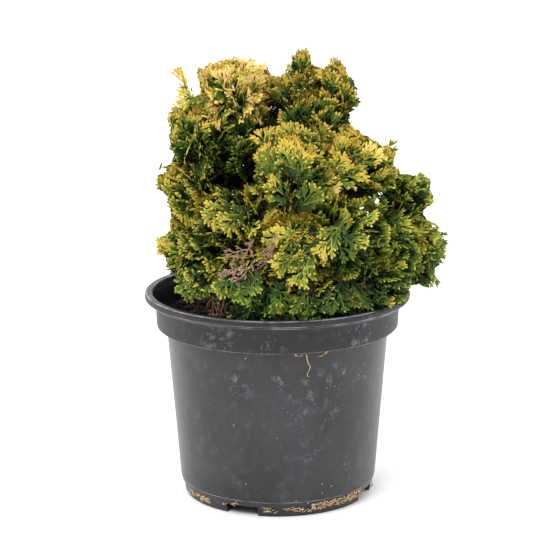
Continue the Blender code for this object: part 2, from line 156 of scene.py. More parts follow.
@dataclass(frozen=True)
class PhotoCamera:
    """The camera of the photograph, fitted to the pot's rim, collar and foot."""

    side: float = 553.0  # pixels
    focal: float = 1839.74  # pixels
    sensor: float = 36.0  # millimetres
    distance: float = 1.8
    elevation: float = math.radians(13.09)
    roll: float = math.radians(-0.195)
    aim_x: float = -0.8 * MM
    aim_z: float = 214.2 * MM
    clip: tuple[float, float] = (0.05, 60.0)

    def axes(self) -> tuple[Vector, Vector, Vector]:
        """Gives the camera's right, up and forward directions.

        Returns:
            Three unit vectors.
        """
        rise, roll = self.elevation, self.roll
        across = Vector((1, 0, 0))
        upward = Vector((0, math.sin(rise), math.cos(rise)))
        forward = Vector((0, math.cos(rise), -math.sin(rise)))
        right = across * math.cos(roll) + upward * math.sin(roll)
        return right, upward * math.cos(roll) - across * math.sin(roll), forward

    def place(self) -> Vector:
        """Gives the camera's own place."""
        _, _, forward = self.axes()
        return Vector((self.aim_x, 0, self.aim_z)) - forward * self.distance

    def ray(self, across: float, down: float) -> Vector:
        """Gives the direction that a pixel looks along.

        Args:
            across: Pixels from the picture's left edge.
            down: Pixels from its top edge.

        Returns:
            A unit vector.
        """
        right, up, forward = self.axes()
        half = self.side / 2
        aim = forward * self.focal + right * (across - half) + up * (half - down)
        return aim.normalized()

    def at_depth(self, across: float, down: float, y: float) -> Vector:
        """Gives the point where a pixel's line of sight meets an upright plane.

        Args:
            across: Pixels from the picture's left edge.
            down: Pixels from its top edge.
            y: The plane's place along Y, in metres.

        Returns:
            The point.
        """
        start, aim = self.place(), self.ray(across, down)
        return start + aim * ((y - start.y) / aim.y)

    def pixels(self, points: np.ndarray) -> np.ndarray:
        """Gives where points show in the photograph.

        Args:
            points: An array of points, three numbers each.

        Returns:
            An array of pixels, across and down.
        """
        right, up, forward = (np.array(axis) for axis in self.axes())
        away = points - np.array(self.place())
        depth = away @ forward
        half = self.side / 2
        across = half + self.focal * (away @ right) / depth
        down = half - self.focal * (away @ up) / depth
        return np.stack([across, down], axis=-1)

    def build(self) -> None:
        """Makes the camera and hands it to the scene."""
        data = bpy.data.cameras.new("camera")
        data.sensor_width = self.sensor
        data.lens = self.focal * self.sensor / self.side
        data.clip_start, data.clip_end = self.clip
        made = add_object("camera", data)
        right, up, forward = self.axes()
        turn = Matrix((right, up, -forward)).transposed().to_4x4()
        made.matrix_world = Matrix.Translation(self.place()) @ turn
        bpy.context.scene.camera = made


PHOTO = PhotoCamera()


def on_curve(points: Sequence[Vector], share: float) -> Vector:
    """Finds a point of a smooth curve through the given points.

    Args:
        points: The points that the curve passes.
        share: How far along it, from 0 to 1.

    Returns:
        The point.
    """
    spans = len(points) - 1
    at = min(max(share, 0.0) * spans, spans - 1e-9)
    i = int(at)
    t = at - i
    a, b = points[i], points[i + 1]
    slope_a = (b - points[max(i - 1, 0)]) / 2
    slope_b = (points[min(i + 2, spans)] - a) / 2
    return (
        a * (2 * t**3 - 3 * t**2 + 1)
        + slope_a * (t**3 - 2 * t**2 + t)
        + b * (3 * t**2 - 2 * t**3)
        + slope_b * (t**3 - t**2)
    )


def arc(start: Vector, bend: Vector, end: Vector, spans: int) -> list[Vector]:
    """Draws a curve that leaves start towards bend and arrives at end.

    Args:
        start: The curve's first point.
        bend: The point that it leans towards.
        end: The curve's last point.
        spans: The number of steps.

    Returns:
        The points along it.
    """
    shares = [k / spans for k in range(spans + 1)]
    return [start * (1 - t) ** 2 + bend * (2 * t * (1 - t)) + end * t**2 for t in shares]


class MeshStore:
    """Points and triangles of one joined piece, gathered block by block."""

    def __init__(self) -> None:
        """Starts an empty store."""
        self.points: list[np.ndarray] = []
        self.faces: list[np.ndarray] = []
        self.kinds: list[np.ndarray] = []
        self.count = 0

    def add(self, points: np.ndarray, faces: np.ndarray, kind: int = 0) -> None:
        """Takes in a block.

        Args:
            points: An array of points.
            faces: Triangles, numbered from the block's first point.
            kind: The material's number on the piece.
        """
        if not len(faces):
            return
        self.points.append(points.reshape(-1, 3))
        self.faces.append(faces + self.count)
        self.kinds.append(np.full(len(faces), kind, np.int32))
        self.count += len(self.points[-1])

    def mesh(self, name: str, smooth: bool = True) -> bpy.types.Mesh:
        """Makes one mesh of all that was taken in.

        Args:
            name: The mesh's name.
            smooth: True to shade across the faces' edges.

        Returns:
            The mesh.
        """
        points = np.concatenate(self.points).astype(np.float32)
        faces = np.concatenate(self.faces).astype(np.int32)
        made = bpy.data.meshes.new(name)
        made.vertices.add(len(points))
        made.vertices.foreach_set("co", points.ravel())
        made.loops.add(len(faces) * 3)
        made.loops.foreach_set("vertex_index", faces.ravel())
        made.polygons.add(len(faces))
        made.polygons.foreach_set("loop_start", 3 * np.arange(len(faces), dtype=np.int32))
        made.polygons.foreach_set("material_index", np.concatenate(self.kinds))
        made.polygons.foreach_set("use_smooth", np.full(len(faces), smooth))
        made.update(calc_edges=True)
        return made


def tube(
    path: Sequence[Vector], radii: Sequence[float], sides: int, relief: np.ndarray | float = 1.0
) -> Block:
    """Makes a tapering tube with closed ends along a path.

    Args:
        path: The tube's middle line.
        radii: Its radius at each point of the path.
        sides: The number of sides.
        relief: Factors on the radius, one for each ring and side, or one for all.

    Returns:
        The points and the triangles.
    """
    centres = np.array(path, float)
    ahead = np.gradient(centres, axis=0)
    ahead /= np.linalg.norm(ahead, axis=1, keepdims=True)
    side = np.cross(ahead[0], (0.31, 0.93, 0.17))
    turns = np.arange(sides) * (math.tau / sides)
    factors = np.broadcast_to(relief, (len(centres), sides))
    rings = []
    for k, centre in enumerate(centres):
        side = side - ahead[k] * side.dot(ahead[k])
        side /= np.linalg.norm(side)
        other = np.cross(ahead[k], side)
        spokes = np.cos(turns)[:, None] * side + np.sin(turns)[:, None] * other
        rings.append(centre + spokes * (radii[k] * factors[k])[:, None])
    points = np.concatenate([*rings, centres[:1], centres[-1:]])
    here = np.arange(sides)
    after = (here + 1) % sides
    faces = []
    for k in range(len(centres) - 1):
        low, high = k * sides, (k + 1) * sides
        faces.append(np.stack([low + here, low + after, high + after], axis=1))
        faces.append(np.stack([low + here, high + after, high + here], axis=1))
    foot, tip = len(points) - 2, len(points) - 1
    last = (len(centres) - 1) * sides
    faces.append(np.stack([np.full(sides, foot), after, here], axis=1))
    faces.append(np.stack([np.full(sides, tip), last + here, last + after], axis=1))
    return points, np.concatenate(faces)


def add_piece(
    name: str,
    mesh: bpy.types.Mesh,
    finishes: Sequence[bpy.types.Material],
    nodes: Sequence[str],
    slot: Slot,
) -> None:
    """Places a finished piece on the frame.

    Args:
        name: The piece's name.
        mesh: Its mesh.
        finishes: Its materials, in the order of the mesh's material numbers.
        nodes: The nodes of the frame that it stands for.
        slot: The record's material slot; not used.
    """
    mesh.materials.clear()
    for finish in finishes:
        mesh.materials.append(finish)
    made = add_object(name, mesh)
    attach(made, BODY)
    if nodes:
        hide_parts(*nodes)
    log.info("%s: %d faces", name, len(mesh.polygons))


class NodeTree:
    """A short hand for placing and linking shader nodes."""

    def __init__(self, tree: bpy.types.NodeTree) -> None:
        """Takes the tree to work on."""
        self.tree = tree

    def feed(self, node: bpy.types.Node, inputs: dict[str | int, Value]) -> None:
        """Gives a node's sockets their values.

        Args:
            node: The node.
            inputs: Another socket to link, or a constant, by the socket's name or number.
        """
        for key, value in inputs.items():
            socket = node.inputs[key]
            if isinstance(value, bpy.types.NodeSocket):
                self.tree.links.new(value, socket)
            else:
                socket.default_value = (*value, 1) if socket.type == "RGBA" else value

    def add(
        self, kind: str, inputs: dict[str | int, Value] | None = None, **settings: str
    ) -> bpy.types.Node:
        """Places a node.

        Args:
            kind: The node's type.
            inputs: What its sockets take.
            **settings: Properties of the node to set.

        Returns:
            The node.
        """
        made = self.tree.nodes.new(kind)
        for name, value in settings.items():
            setattr(made, name, value)
        self.feed(made, inputs or {})
        return made

    def place(self) -> Socket:
        """Gives the object's own coordinates."""
        return self.add("ShaderNodeTexCoord").outputs["Object"]

    def math(self, operation: str, first: Socket, second: Socket | float) -> Socket:
        """Works out one value from two."""
        return self.add("ShaderNodeMath", {0: first, 1: second}, operation=operation).outputs[0]

    def times(self, first: Socket, second: Socket | float) -> Socket:
        """Multiplies two values."""
        return self.math("MULTIPLY", first, second)

    def highest(self, masks: Iterable[Socket]) -> Socket:
        """Gives the highest of several masks."""
        return reduce(lambda one, other: self.math("MAXIMUM", one, other), masks)

    def span(
        self, value: Socket, low: float, high: float, to_low: float = 0.0, to_high: float = 1.0
    ) -> Socket:
        """Maps a span of values smoothly to another, from 0 to 1 unless told, and stops at its ends."""
        ends = {"Value": value, "From Min": low, "From Max": high, "To Min": to_low, "To Max": to_high}
        return self.add("ShaderNodeMapRange", ends, interpolation_type="SMOOTHSTEP").outputs["Result"]

    def falling(self, value: Socket, low: float, high: float) -> Socket:
        """Gives 1 under the low value, 0 over the high one, and a smooth slope between."""
        return self.span(value, low, high, 1.0, 0.0)

    def blend(self, share: Socket, first: Socket | Colour, second: Socket | Colour) -> Socket:
        """Mixes two colours by how much of the second one shows."""
        takes = {"Factor": share, MIX_FIRST: first, MIX_SECOND: second}
        return self.add("ShaderNodeMix", takes, data_type="RGBA").outputs[MIX_RESULT]

    def noise(
        self, place: Socket, scale: Socket | float, detail: float = 3.0, rough: float = 0.55
    ) -> Socket:
        """Gives clouds, from 0 to 1: their number in a metre, their finer layers, how strong those are."""
        looks = {"Vector": place, "Scale": scale, "Detail": detail, "Roughness": rough}
        return self.add("ShaderNodeTexNoise", looks).outputs["Fac"]

    def cells(self, place: Socket, scale: Socket | float) -> Socket:
        """Gives how far a place is from the middle of its cell."""
        return self.add("ShaderNodeTexVoronoi", {"Vector": place, "Scale": scale}).outputs["Distance"]

    def bump(self, height: Socket, depth: float, strength: float = 1.0) -> Socket:
        """Gives the normals of a relief, by its depth in metres and how much of it shows."""
        looks = {"Height": height, "Distance": depth, "Strength": strength}
        return self.add("ShaderNodeBump", looks).outputs["Normal"]


class Effect:
    """A shader group with named sockets that several finishes share."""

    title = "effect"
    takes: dict[str, float | None] = {}  # None for a colour
    gives: tuple[str, ...] = ()

    def __init__(self) -> None:
        """Builds the group once."""
        self.group = bpy.data.node_groups.new(self.title, "ShaderNodeTree")
        sockets = self.group.interface
        for name, value in self.takes.items():
            kind = COLOUR_SOCKET if value is None else VALUE_SOCKET
            made = sockets.new_socket(name, in_out="INPUT", socket_type=kind)
            if value is not None:
                made.default_value = value
        for name in self.gives:
            kind = COLOUR_SOCKET if name == "Colour" else VALUE_SOCKET
            sockets.new_socket(name, in_out="OUTPUT", socket_type=kind)
        self.nodes = NodeTree(self.group)
        self.taken = self.nodes.add("NodeGroupInput").outputs
        way_out = self.nodes.add("NodeGroupOutput")
        self.nodes.feed(way_out, self.fill(self.nodes, self.nodes.place()))

    def fill(self, nodes: NodeTree, place: Socket) -> dict[str, Socket]:
        """Lays the group's nodes.

        Args:
            nodes: The group's nodes.
            place: The object's own coordinates.

        Returns:
            What the group gives, by name.
        """
        raise NotImplementedError

    def use(self, nodes: NodeTree, **values: float | Colour) -> bpy.types.bpy_prop_collection:
        """Places the group in a material.

        Args:
            nodes: The material's nodes.
            **values: What its inputs are set to.

        Returns:
            The group's outputs.
        """
        made = nodes.add("ShaderNodeGroup")
        made.node_tree = self.group
        nodes.feed(made, values)
        return made.outputs


class Mottling(Effect):
    """Soft patches of a second colour, as on anything that grew or weathered."""

    title = "mottling"
    takes = {"Ground": None, "Patches": None, "Scale": 120, "Amount": 0.5}
    gives = ("Colour", "Mask")

    def fill(self, nodes: NodeTree, place: Socket) -> dict[str, Socket]:
        """Lays the patches.

        Args:
            nodes: The group's nodes.
            place: The point that is shaded.

        Returns:
            The ground's colour with its patches, and their mask.
        """
        taken = self.taken
        mask = nodes.span(nodes.noise(place, taken["Scale"], 4.0, 0.5), 0.38, 0.66)
        share = nodes.times(mask, taken["Amount"])
        return {"Colour": nodes.blend(share, taken["Ground"], taken["Patches"]), "Mask": mask}


class ScaleLeaves(Effect):
    """The small overlapping scales that cover a finger of foliage."""

    title = "scale_leaves"
    takes = {"Scale": 650}
    gives = ("Height", "Seams")

    def fill(self, nodes: NodeTree, place: Socket) -> dict[str, Socket]:
        """Lays the scales."""
        distance = nodes.cells(place, self.taken["Scale"])
        return {"Height": nodes.falling(distance, 0.0, 0.75), "Seams": nodes.span(distance, 0.35, 0.7)}


class Dust(Effect):
    """Pale dust and lime that settle on plastic and bark in cloudy smears and specks."""

    title = "dust"
    takes = {"Scale": 30, "Smears": 0.5, "Specks": 0.5}
    gives = ("Mask", "Height")

    def fill(self, nodes: NodeTree, place: Socket) -> dict[str, Socket]:
        """Lays the smears and the specks.

        Args:
            nodes: The group's nodes.
            place: The point that is shaded.

        Returns:
            The mask of the dust, and the height of its specks.
        """
        clouds = nodes.noise(place, self.taken["Scale"], 8.0, 0.68)
        smears = nodes.times(nodes.span(clouds, 0.5, 0.78), self.taken["Smears"])
        near = nodes.falling(nodes.cells(place, 330.0), 0.12, 0.3)
        where = nodes.span(nodes.noise(place, 150.0), 0.5, 0.66)
        specks = nodes.times(nodes.times(near, where), self.taken["Specks"])
        return {"Mask": nodes.highest((smears, specks)), "Height": specks}


@dataclass
class Effects:
    """The shader groups of this object, built once."""

    mottling: Mottling = field(default_factory=Mottling)
    scale_leaves: ScaleLeaves = field(default_factory=ScaleLeaves)
    dust: Dust = field(default_factory=Dust)


class Finish:
    """A procedural material. Each kind says what its shader takes."""

    name: str

    def looks(self, effects: Effects, nodes: NodeTree) -> dict[str, Value]:
        """Lays the nodes of the material.

        Args:
            effects: The shared shader groups.
            nodes: The material's nodes.

        Returns:
            What the Principled shader's sockets take.
        """
        raise NotImplementedError

    def build(self, effects: Effects) -> bpy.types.Material:
        """Makes the material with the shared shader groups.

        Args:
            effects: The shared shader groups.

        Returns:
            The material.
        """
        made = bpy.data.materials.new(self.name)
        made.use_nodes = True
        nodes = NodeTree(made.node_tree)
        nodes.feed(made.node_tree.nodes["Principled BSDF"], self.looks(effects, nodes))
        return made


@dataclass(frozen=True)
class LeafFinish(Finish):
    """Scale leaves of one tint."""

    tint: Tint
    colour: Colour
    seams: Colour
    roughness: float = 0.5
    patch_scale: float = 210.0
    leaf_scale: float = 620.0
    leaf_height: float = 0.25 * MM

    @property
    def name(self) -> str:
        """Gives the material's name."""
        return f"leaf_{self.tint.value}"

    def looks(self, effects: Effects, nodes: NodeTree) -> dict[str, Value]:
        """Lays mottled leaves with darker seams between the scales.

        Args:
            effects: The shared shader groups.
            nodes: The material's nodes.

        Returns:
            What the Principled shader's sockets take.
        """
        tone = effects.mottling.use(
            nodes, Ground=self.colour, Patches=self.seams, Scale=self.patch_scale, Amount=0.45
        )
        scales = effects.scale_leaves.use(nodes, Scale=self.leaf_scale)
        return {
            "Base Color": nodes.blend(nodes.times(scales["Seams"], 0.4), tone["Colour"], self.seams),
            "Roughness": self.roughness,
            "Specular IOR Level": 0.14,
            "Normal": nodes.bump(scales["Height"], self.leaf_height, 0.6),
        }


LEAF_FINISHES = (
    # The shade tint is painted shade for the fingers deep in the crown.
    LeafFinish(SHADE, (0.015, 0.022, 0.005), (0.006, 0.014, 0.005), 0.62),
    LeafFinish(DEEP, (0.036, 0.071, 0.013), (0.016, 0.042, 0.009)),
    LeafFinish(GREEN, (0.08, 0.138, 0.02), (0.04, 0.09, 0.014)),
    LeafFinish(OLIVE, (0.188, 0.205, 0.022), (0.1, 0.13, 0.016)),
    LeafFinish(LIME, (0.335, 0.365, 0.042), (0.21, 0.26, 0.032)),
    LeafFinish(GOLD, (0.62, 0.465, 0.07), (0.45, 0.35, 0.045)),
    LeafFinish(AMBER, (0.53, 0.31, 0.045), (0.36, 0.2, 0.03)),
    LeafFinish(CREAM, (0.86, 0.66, 0.22), (0.66, 0.47, 0.12)),
    LeafFinish(BLUSH, (0.78, 0.45, 0.2), (0.6, 0.32, 0.13)),
    LeafFinish(DEAD, (0.3, 0.175, 0.115), (0.15, 0.085, 0.055), 0.85),
    LeafFinish(ASHEN, (0.46, 0.34, 0.26), (0.28, 0.19, 0.14), 0.85),
)


@dataclass(frozen=True)
class Smudge:
    """A dusty or scuffed place on the pot: its pixel in the photograph, reach and strength."""

    across: float
    down: float
    reach_mm: float
    strength: float


SMUDGES = (
    Smudge(218, 334, 24, 0.8),
    Smudge(271, 343, 17, 0.85),
    Smudge(362, 334, 30, 0.9),
    Smudge(392, 310, 22, 0.8),
    Smudge(238, 386, 18, 0.6),
    Smudge(277, 383, 13, 0.7),
    Smudge(338, 377, 20, 1.0),
    Smudge(361, 372, 13, 1.0),
    Smudge(312, 404, 40, 0.6),
    Smudge(312, 458, 16, 0.4),
)


@dataclass(frozen=True)
class PlasticFinish(Finish):
    """Black nursery plastic, dull, dusted and scuffed, with pale lines along its edges that are painted
    highlights in patches, painted shadow in its grooves and painted shade on its inner side.
    """

    smudges: tuple[tuple[Vector, float, float], ...]
    # Heights of the pale lines, which are painted highlights.
    edges: tuple[float, ...]
    grooves: tuple[float, ...]
    collar_foot: float
    # Radius inside which the collar's inner side takes painted shade.
    inner_radius: float
    name: str = "black_plastic"
    ground: Colour = (0.017, 0.0175, 0.019)
    worn: Colour = (0.031, 0.033, 0.036)
    clean: Colour = (0.006, 0.0065, 0.0075)
    dust: Colour = (0.3, 0.325, 0.37)
    # Painted highlight of the pale edge lines.
    pale: Colour = (0.26, 0.27, 0.29)
    shadow: Colour = (0.001, 0.001, 0.001)
    # Painted shade on the collar's inner side.
    within: Colour = (0.004, 0.004, 0.004)
    roughness: float = 0.36
    dusty_roughness: float = 0.8
    collar_roughness: float = 0.14
    edge_half: float = 0.5 * MM
    everywhere: float = 0.12

    def lines(self, nodes: NodeTree, height: Socket, levels: Sequence[float]) -> Socket:
        """Marks thin level lines round the pot.

        Args:
            nodes: The material's nodes.
            height: The socket of the height above the pot's underside.
            levels: The lines' heights.

        Returns:
            The mask's socket.
        """
        away = (nodes.math("ABSOLUTE", nodes.math("SUBTRACT", height, edge), 0.0) for edge in levels)
        return nodes.highest(nodes.falling(one, self.edge_half * 0.3, self.edge_half) for one in away)

    def dusted(self, nodes: NodeTree, place: Socket) -> Socket:
        """Marks where dust lies, most of all round the smudges.

        Args:
            nodes: The material's nodes.
            place: The object's own coordinates.

        Returns:
            The mask's socket.
        """
        patches = []
        for at, reach, strength in self.smudges:
            away = nodes.add("ShaderNodeVectorMath", {0: place, 1: at}, operation="DISTANCE")
            patches.append(
                nodes.span(away.outputs["Value"], reach * 0.3, reach, strength, self.everywhere)
            )
        return nodes.highest(patches)

    def radius(self, nodes: NodeTree, place: Socket) -> Socket:
        """Gives the distance from the pot's axis."""
        level = nodes.add("ShaderNodeVectorMath", {0: place, 1: (1, 1, 0)}, operation="MULTIPLY")
        return nodes.add("ShaderNodeVectorMath", {0: level.outputs[0]}, operation="LENGTH").outputs["Value"]

    def looks(self, effects: Effects, nodes: NodeTree) -> dict[str, Value]:
        """Lays the worn wall, the cleaner collar, painted shade on the inner side, painted shadow in the
        grooves, pale edge lines that are painted highlights, and dust.

        Args:
            effects: The shared shader groups.
            nodes: The material's nodes.

        Returns:
            What the Principled shader's sockets take.
        """
        place = nodes.place()
        tone = effects.mottling.use(nodes, Ground=self.ground, Patches=self.worn, Scale=16.0, Amount=0.8)
        dust = effects.dust.use(nodes, Scale=95.0, Smears=1.0, Specks=1.0)
        height = nodes.add("ShaderNodeSeparateXYZ", {"Vector": place}).outputs["Z"]
        upper = nodes.span(height, self.collar_foot - 1 * MM, self.collar_foot + 1 * MM)
        # The collar's inner side takes painted shade and no dust.
        inner = nodes.falling(self.radius(nodes, place), self.inner_radius, self.inner_radius + 0.6 * MM)
        painted_shade_inside = nodes.times(inner, upper)
        # The pale edge lines are painted highlights, broken into patches.
        patchy = nodes.span(nodes.noise(place, 55.0, 5.0), 0.36, 0.6, 0.2, 0.9)
        edges = nodes.times(self.lines(nodes, height, self.edges), patchy)
        colour = nodes.blend(upper, tone["Colour"], self.clean)
        colour = nodes.blend(edges, colour, self.pale)
        colour = nodes.blend(self.lines(nodes, height, self.grooves), colour, self.shadow)
        colour = nodes.blend(painted_shade_inside, colour, self.within)
        mask = nodes.times(dust["Mask"], self.dusted(nodes, place))
        mask = nodes.times(mask, nodes.falling(painted_shade_inside, 0.0, 1.0))
        dull = nodes.times(nodes.math("ADD", upper, painted_shade_inside), self.collar_roughness)
        rough = nodes.span(mask, 0.0, 0.6, self.roughness, self.dusty_roughness)
        relief = nodes.math("ADD", nodes.noise(place, 900.0, 4.0), nodes.noise(place, 45.0, 2.0))
        return {
            "Base Color": nodes.blend(mask, colour, self.dust),
            "Roughness": nodes.math("ADD", rough, dull),
            "Specular IOR Level": 0.42,
            "Normal": nodes.bump(relief, 0.16 * MM, 0.5),
        }


@dataclass(frozen=True)
class SoilFinish(Finish):
    """Peat and composted bark, dark and rough."""

    name: str
    ground: Colour
    patches: Colour
    scale: float = 160.0
    roughness: float = 0.95

    def looks(self, effects: Effects, nodes: NodeTree) -> dict[str, Value]:
        """Lays mottled crumbs.

        Args:
            effects: The shared shader groups.
            nodes: The material's nodes.

        Returns:
            What the Principled shader's sockets take.
        """
        place = nodes.place()
        tone = effects.mottling.use(
            nodes, Ground=self.ground, Patches=self.patches, Scale=self.scale, Amount=1.0
        )
        return {
            "Base Color": tone["Colour"],
            "Roughness": self.roughness,
            "Specular IOR Level": 0.2,
            "Normal": nodes.bump(nodes.noise(place, 800.0, 6.0, 0.7), 0.6 * MM),
        }


PEAT = SoilFinish("peat", (0.016, 0.011, 0.008), (0.045, 0.028, 0.018), 240.0)
CHIP_FINISHES = (
    SoilFinish("dark_chips", (0.05, 0.026, 0.015), (0.1, 0.055, 0.03)),
    SoilFinish("red_chips", (0.34, 0.15, 0.06), (0.17, 0.075, 0.03)),
    # The pale chips and the straw are paler than their own colour: painted light for the chips in the pot's
    # shade.
    SoilFinish("pale_chips", (0.85, 0.58, 0.34), (0.5, 0.28, 0.13)),
    SoilFinish("straw", (0.95, 0.74, 0.47), (0.5, 0.33, 0.17)),
)
LITTER_FINISHES = (
    SoilFinish("clinging_straw", (0.72, 0.52, 0.31), (0.42, 0.26, 0.13), 300.0),
    SoilFinish("feed_prills", (0.8, 0.17, 0.03), (0.55, 0.1, 0.02), 300.0, 0.6),
    SoilFinish("clinging_peat", (0.1, 0.05, 0.028), (0.03, 0.018, 0.012), 300.0),
    SoilFinish("scraped_plastic", (0.4, 0.41, 0.44), (0.2, 0.21, 0.23), 300.0, 0.7),
)


@dataclass(frozen=True)
class BarkFinish(Finish):
    """Reddish bark that peels in long narrow strips."""

    name: str = "cypress_bark"
    ground: Colour = (0.15, 0.06, 0.035)
    patches: Colour = (0.3, 0.19, 0.13)
    dust: Colour = (0.36, 0.31, 0.26)
    stretch: tuple[float, float, float] = (1.0, 1.0, 0.16)

    def looks(self, effects: Effects, nodes: NodeTree) -> dict[str, Value]:
        """Lays upright strips with a little dust.

        Args:
            effects: The shared shader groups.
            nodes: The material's nodes.

        Returns:
            What the Principled shader's sockets take.
        """
        place = nodes.place()
        tone = effects.mottling.use(
            nodes, Ground=self.ground, Patches=self.patches, Scale=95.0, Amount=0.85
        )
        dust = effects.dust.use(nodes, Scale=70.0, Smears=0.5, Specks=0.2)
        strips = nodes.add("ShaderNodeMapping", {"Scale": self.stretch, "Vector": place})
        return {
            "Base Color": nodes.blend(dust["Mask"], tone["Colour"], self.dust),
            "Roughness": 0.88,
            "Specular IOR Level": 0.2,
            "Normal": nodes.bump(nodes.noise(strips.outputs[0], 620.0, 5.0, 0.65), 0.5 * MM),
        }


def rounded(corners: Sequence[tuple[float, float, float]], steps: int = 5) -> list[Vector]:
    """Rounds the corners of an open outline.

    Args:
        corners: Radius, height and rounding of each corner.
        steps: The number of steps round a corner.

    Returns:
        The outline's points, radius and height.
    """
    points = [Vector((r, z)) for r, z, _ in corners]
    made = [points[0]]
    for k in range(1, len(points) - 1):
        here, fillet = points[k], corners[k][2]
        back, on = points[k - 1] - here, points[k + 1] - here
        cut = min(fillet, 0.48 * back.length, 0.48 * on.length)
        if cut < 0.02 * MM:
            made.append(here)
            continue
        start, end = here + back.normalized() * cut, here + on.normalized() * cut
        made += [
            start * (1 - t) ** 2 + here * (2 * t * (1 - t)) + end * t**2
            for t in (s / steps for s in range(steps + 1))
        ]
    return [*made, points[-1]]


@dataclass
class NurseryPot:
    """The 26 cm pot: rolled lip, bead, collar, tapered wall and cut foot ring."""

    rim_radius: float = 130 * MM
    height: float = 202 * MM
    lip_depth: float = 6.5 * MM
    lip_width: float = 8.0 * MM
    bead_depth: float = 3.0 * MM
    collar_radius: float = 118.6 * MM
    collar_foot: float = 167.5 * MM
    shoulder_radius: float = 108.7 * MM
    wall_foot_radius: float = 96.5 * MM
    wall_foot: float = 15 * MM
    wall: float = 1.8 * MM
    foot_radius: float = 93.5 * MM
    foot_height: float = 9.5 * MM
    foot_width: float = 5.5 * MM
    pad_radius: float = 52 * MM
    channel: float = 7.5 * MM
    steps: int = 168
    drain_count: int = 4
    drain_azimuth: float = math.radians(-22)
    drain_arc: float = math.radians(20)
    hole_radius: float = 6 * MM
    hole_ring: float = 70 * MM
    sharp_over: float = math.radians(38)
    search: tuple[float, float, int] = (-0.2, 0.2, 900)  # round the pot's axis, and its steps

    def inside(self) -> list[tuple[float, float, float]]:
        """Gives the inner side's corners, from the floor's middle up to the lip.

        Returns:
            Radius, height and rounding of each corner.
        """
        floor = self.channel + self.wall
        return [
            (0, self.wall, 0),
            (self.pad_radius - 4 * MM, self.wall, 1 * MM),
            (self.pad_radius - 1 * MM, floor, 1 * MM),
            (self.wall_foot_radius - 4 * MM, floor, 1 * MM),
            (self.wall_foot_radius - self.wall, self.wall_foot + 2 * MM, 2 * MM),
            (self.shoulder_radius - self.wall, self.collar_foot + 2 * MM, 1.2 * MM),
            (self.collar_radius - self.wall, self.collar_foot + 6 * MM, 2 * MM),
            (self.collar_radius + 1.5 * MM, self.height - 9 * MM, 4 * MM),
            (self.rim_radius - self.lip_width, self.height - 1 * MM, 2.5 * MM),
        ]

    def outside(self) -> list[tuple[float, float, float]]:
        """Gives the outer side's corners, from the lip down to the underside's middle.

        Returns:
            Radius, height and rounding of each corner.
        """
        lip_foot = self.height - self.lip_depth
        bead_foot = lip_foot - self.bead_depth
        shoulder = self.collar_foot - 1.5 * MM
        return [
            (self.rim_radius - self.lip_width / 2, self.height, 2 * MM),
            (self.rim_radius - 1 * MM, self.height - 0.6 * MM, 1.5 * MM),
            (self.rim_radius, self.height - 3 * MM, 2 * MM),
            (self.rim_radius - 0.5 * MM, lip_foot, 0.6 * MM),
            (self.rim_radius - 4.4 * MM, lip_foot + 0.4 * MM, 0.5 * MM),
            (self.rim_radius - 3.4 * MM, lip_foot - 1.4 * MM, 0.8 * MM),
            (self.rim_radius - 4.4 * MM, bead_foot, 0.8 * MM),
            (self.collar_radius + 2.2 * MM, bead_foot - 0.6 * MM, 1 * MM),
            (self.collar_radius + 0.7 * MM, bead_foot - 3 * MM, 2 * MM),
            (self.collar_radius, self.collar_foot + 4 * MM, 3 * MM),
            (self.collar_radius - 0.4 * MM, self.collar_foot + 0.2 * MM, 1.4 * MM),
            (self.shoulder_radius + 0.8 * MM, shoulder + 0.6 * MM, 1 * MM),
            (self.shoulder_radius, shoulder - 1.2 * MM, 1 * MM),
            (self.wall_foot_radius + 0.2 * MM, self.wall_foot, 3 * MM),
            (self.foot_radius + 1 * MM, self.foot_height, 1.4 * MM),
            (self.foot_radius, self.foot_height - 1 * MM, 0.6 * MM),
            (self.foot_radius - 1 * MM, 0, 1 * MM),
            (self.foot_radius - self.foot_width, 0, 0.6 * MM),
            (self.foot_radius - self.foot_width - 2 * MM, self.channel, 1 * MM),
            (self.pad_radius + 3 * MM, self.channel, 1 * MM),
            (self.pad_radius, 0, 0.6 * MM),
            (0, 0, 0),
        ]

    def radius_at(self, height: float) -> float:
        """Gives the outer radius of the wall, the collar or the lip at a height.

        Args:
            height: The height over the ground.

        Returns:
            The radius.
        """
        lip_foot = self.height - self.lip_depth
        if height > lip_foot:
            return self.rim_radius
        if height > self.collar_foot:
            return self.collar_radius
        share = (height - self.wall_foot) / (self.collar_foot - self.wall_foot)
        if share > 0:
            return self.wall_foot_radius + (self.shoulder_radius - self.wall_foot_radius) * share
        if height > self.foot_height:
            share = (height - self.foot_height) / (self.wall_foot - self.foot_height)
            return self.foot_radius + 1 * MM + (self.wall_foot_radius - self.foot_radius) * share
        return self.foot_radius

    def on_wall(self, across: float, down: float) -> Vector:
        """Finds the place on the pot's outside that a pixel shows.

        Args:
            across: Pixels from the photograph's left edge.
            down: Pixels from its top edge.

        Returns:
            The point.
        """
        start, aim = PHOTO.place(), PHOTO.ray(across, down)
        before, behind, steps = self.search
        nearest, least = start, math.inf
        for k in range(steps):
            point = start + aim * (PHOTO.distance + before + (behind - before) * k / steps)
            away = math.hypot(point.x, point.y) - self.radius_at(point.z)
            if away < 0:
                return point
            if away < least:
                nearest, least = point, away
        inward = 1 - least / math.hypot(nearest.x, nearest.y)
        return Vector((nearest.x * inward, nearest.y * inward, nearest.z))

    def toward(self, azimuth: float) -> Vector:
        """Gives the level direction at an azimuth, from -Y towards +X."""
        return Vector((math.sin(azimuth), -math.cos(azimuth), 0))

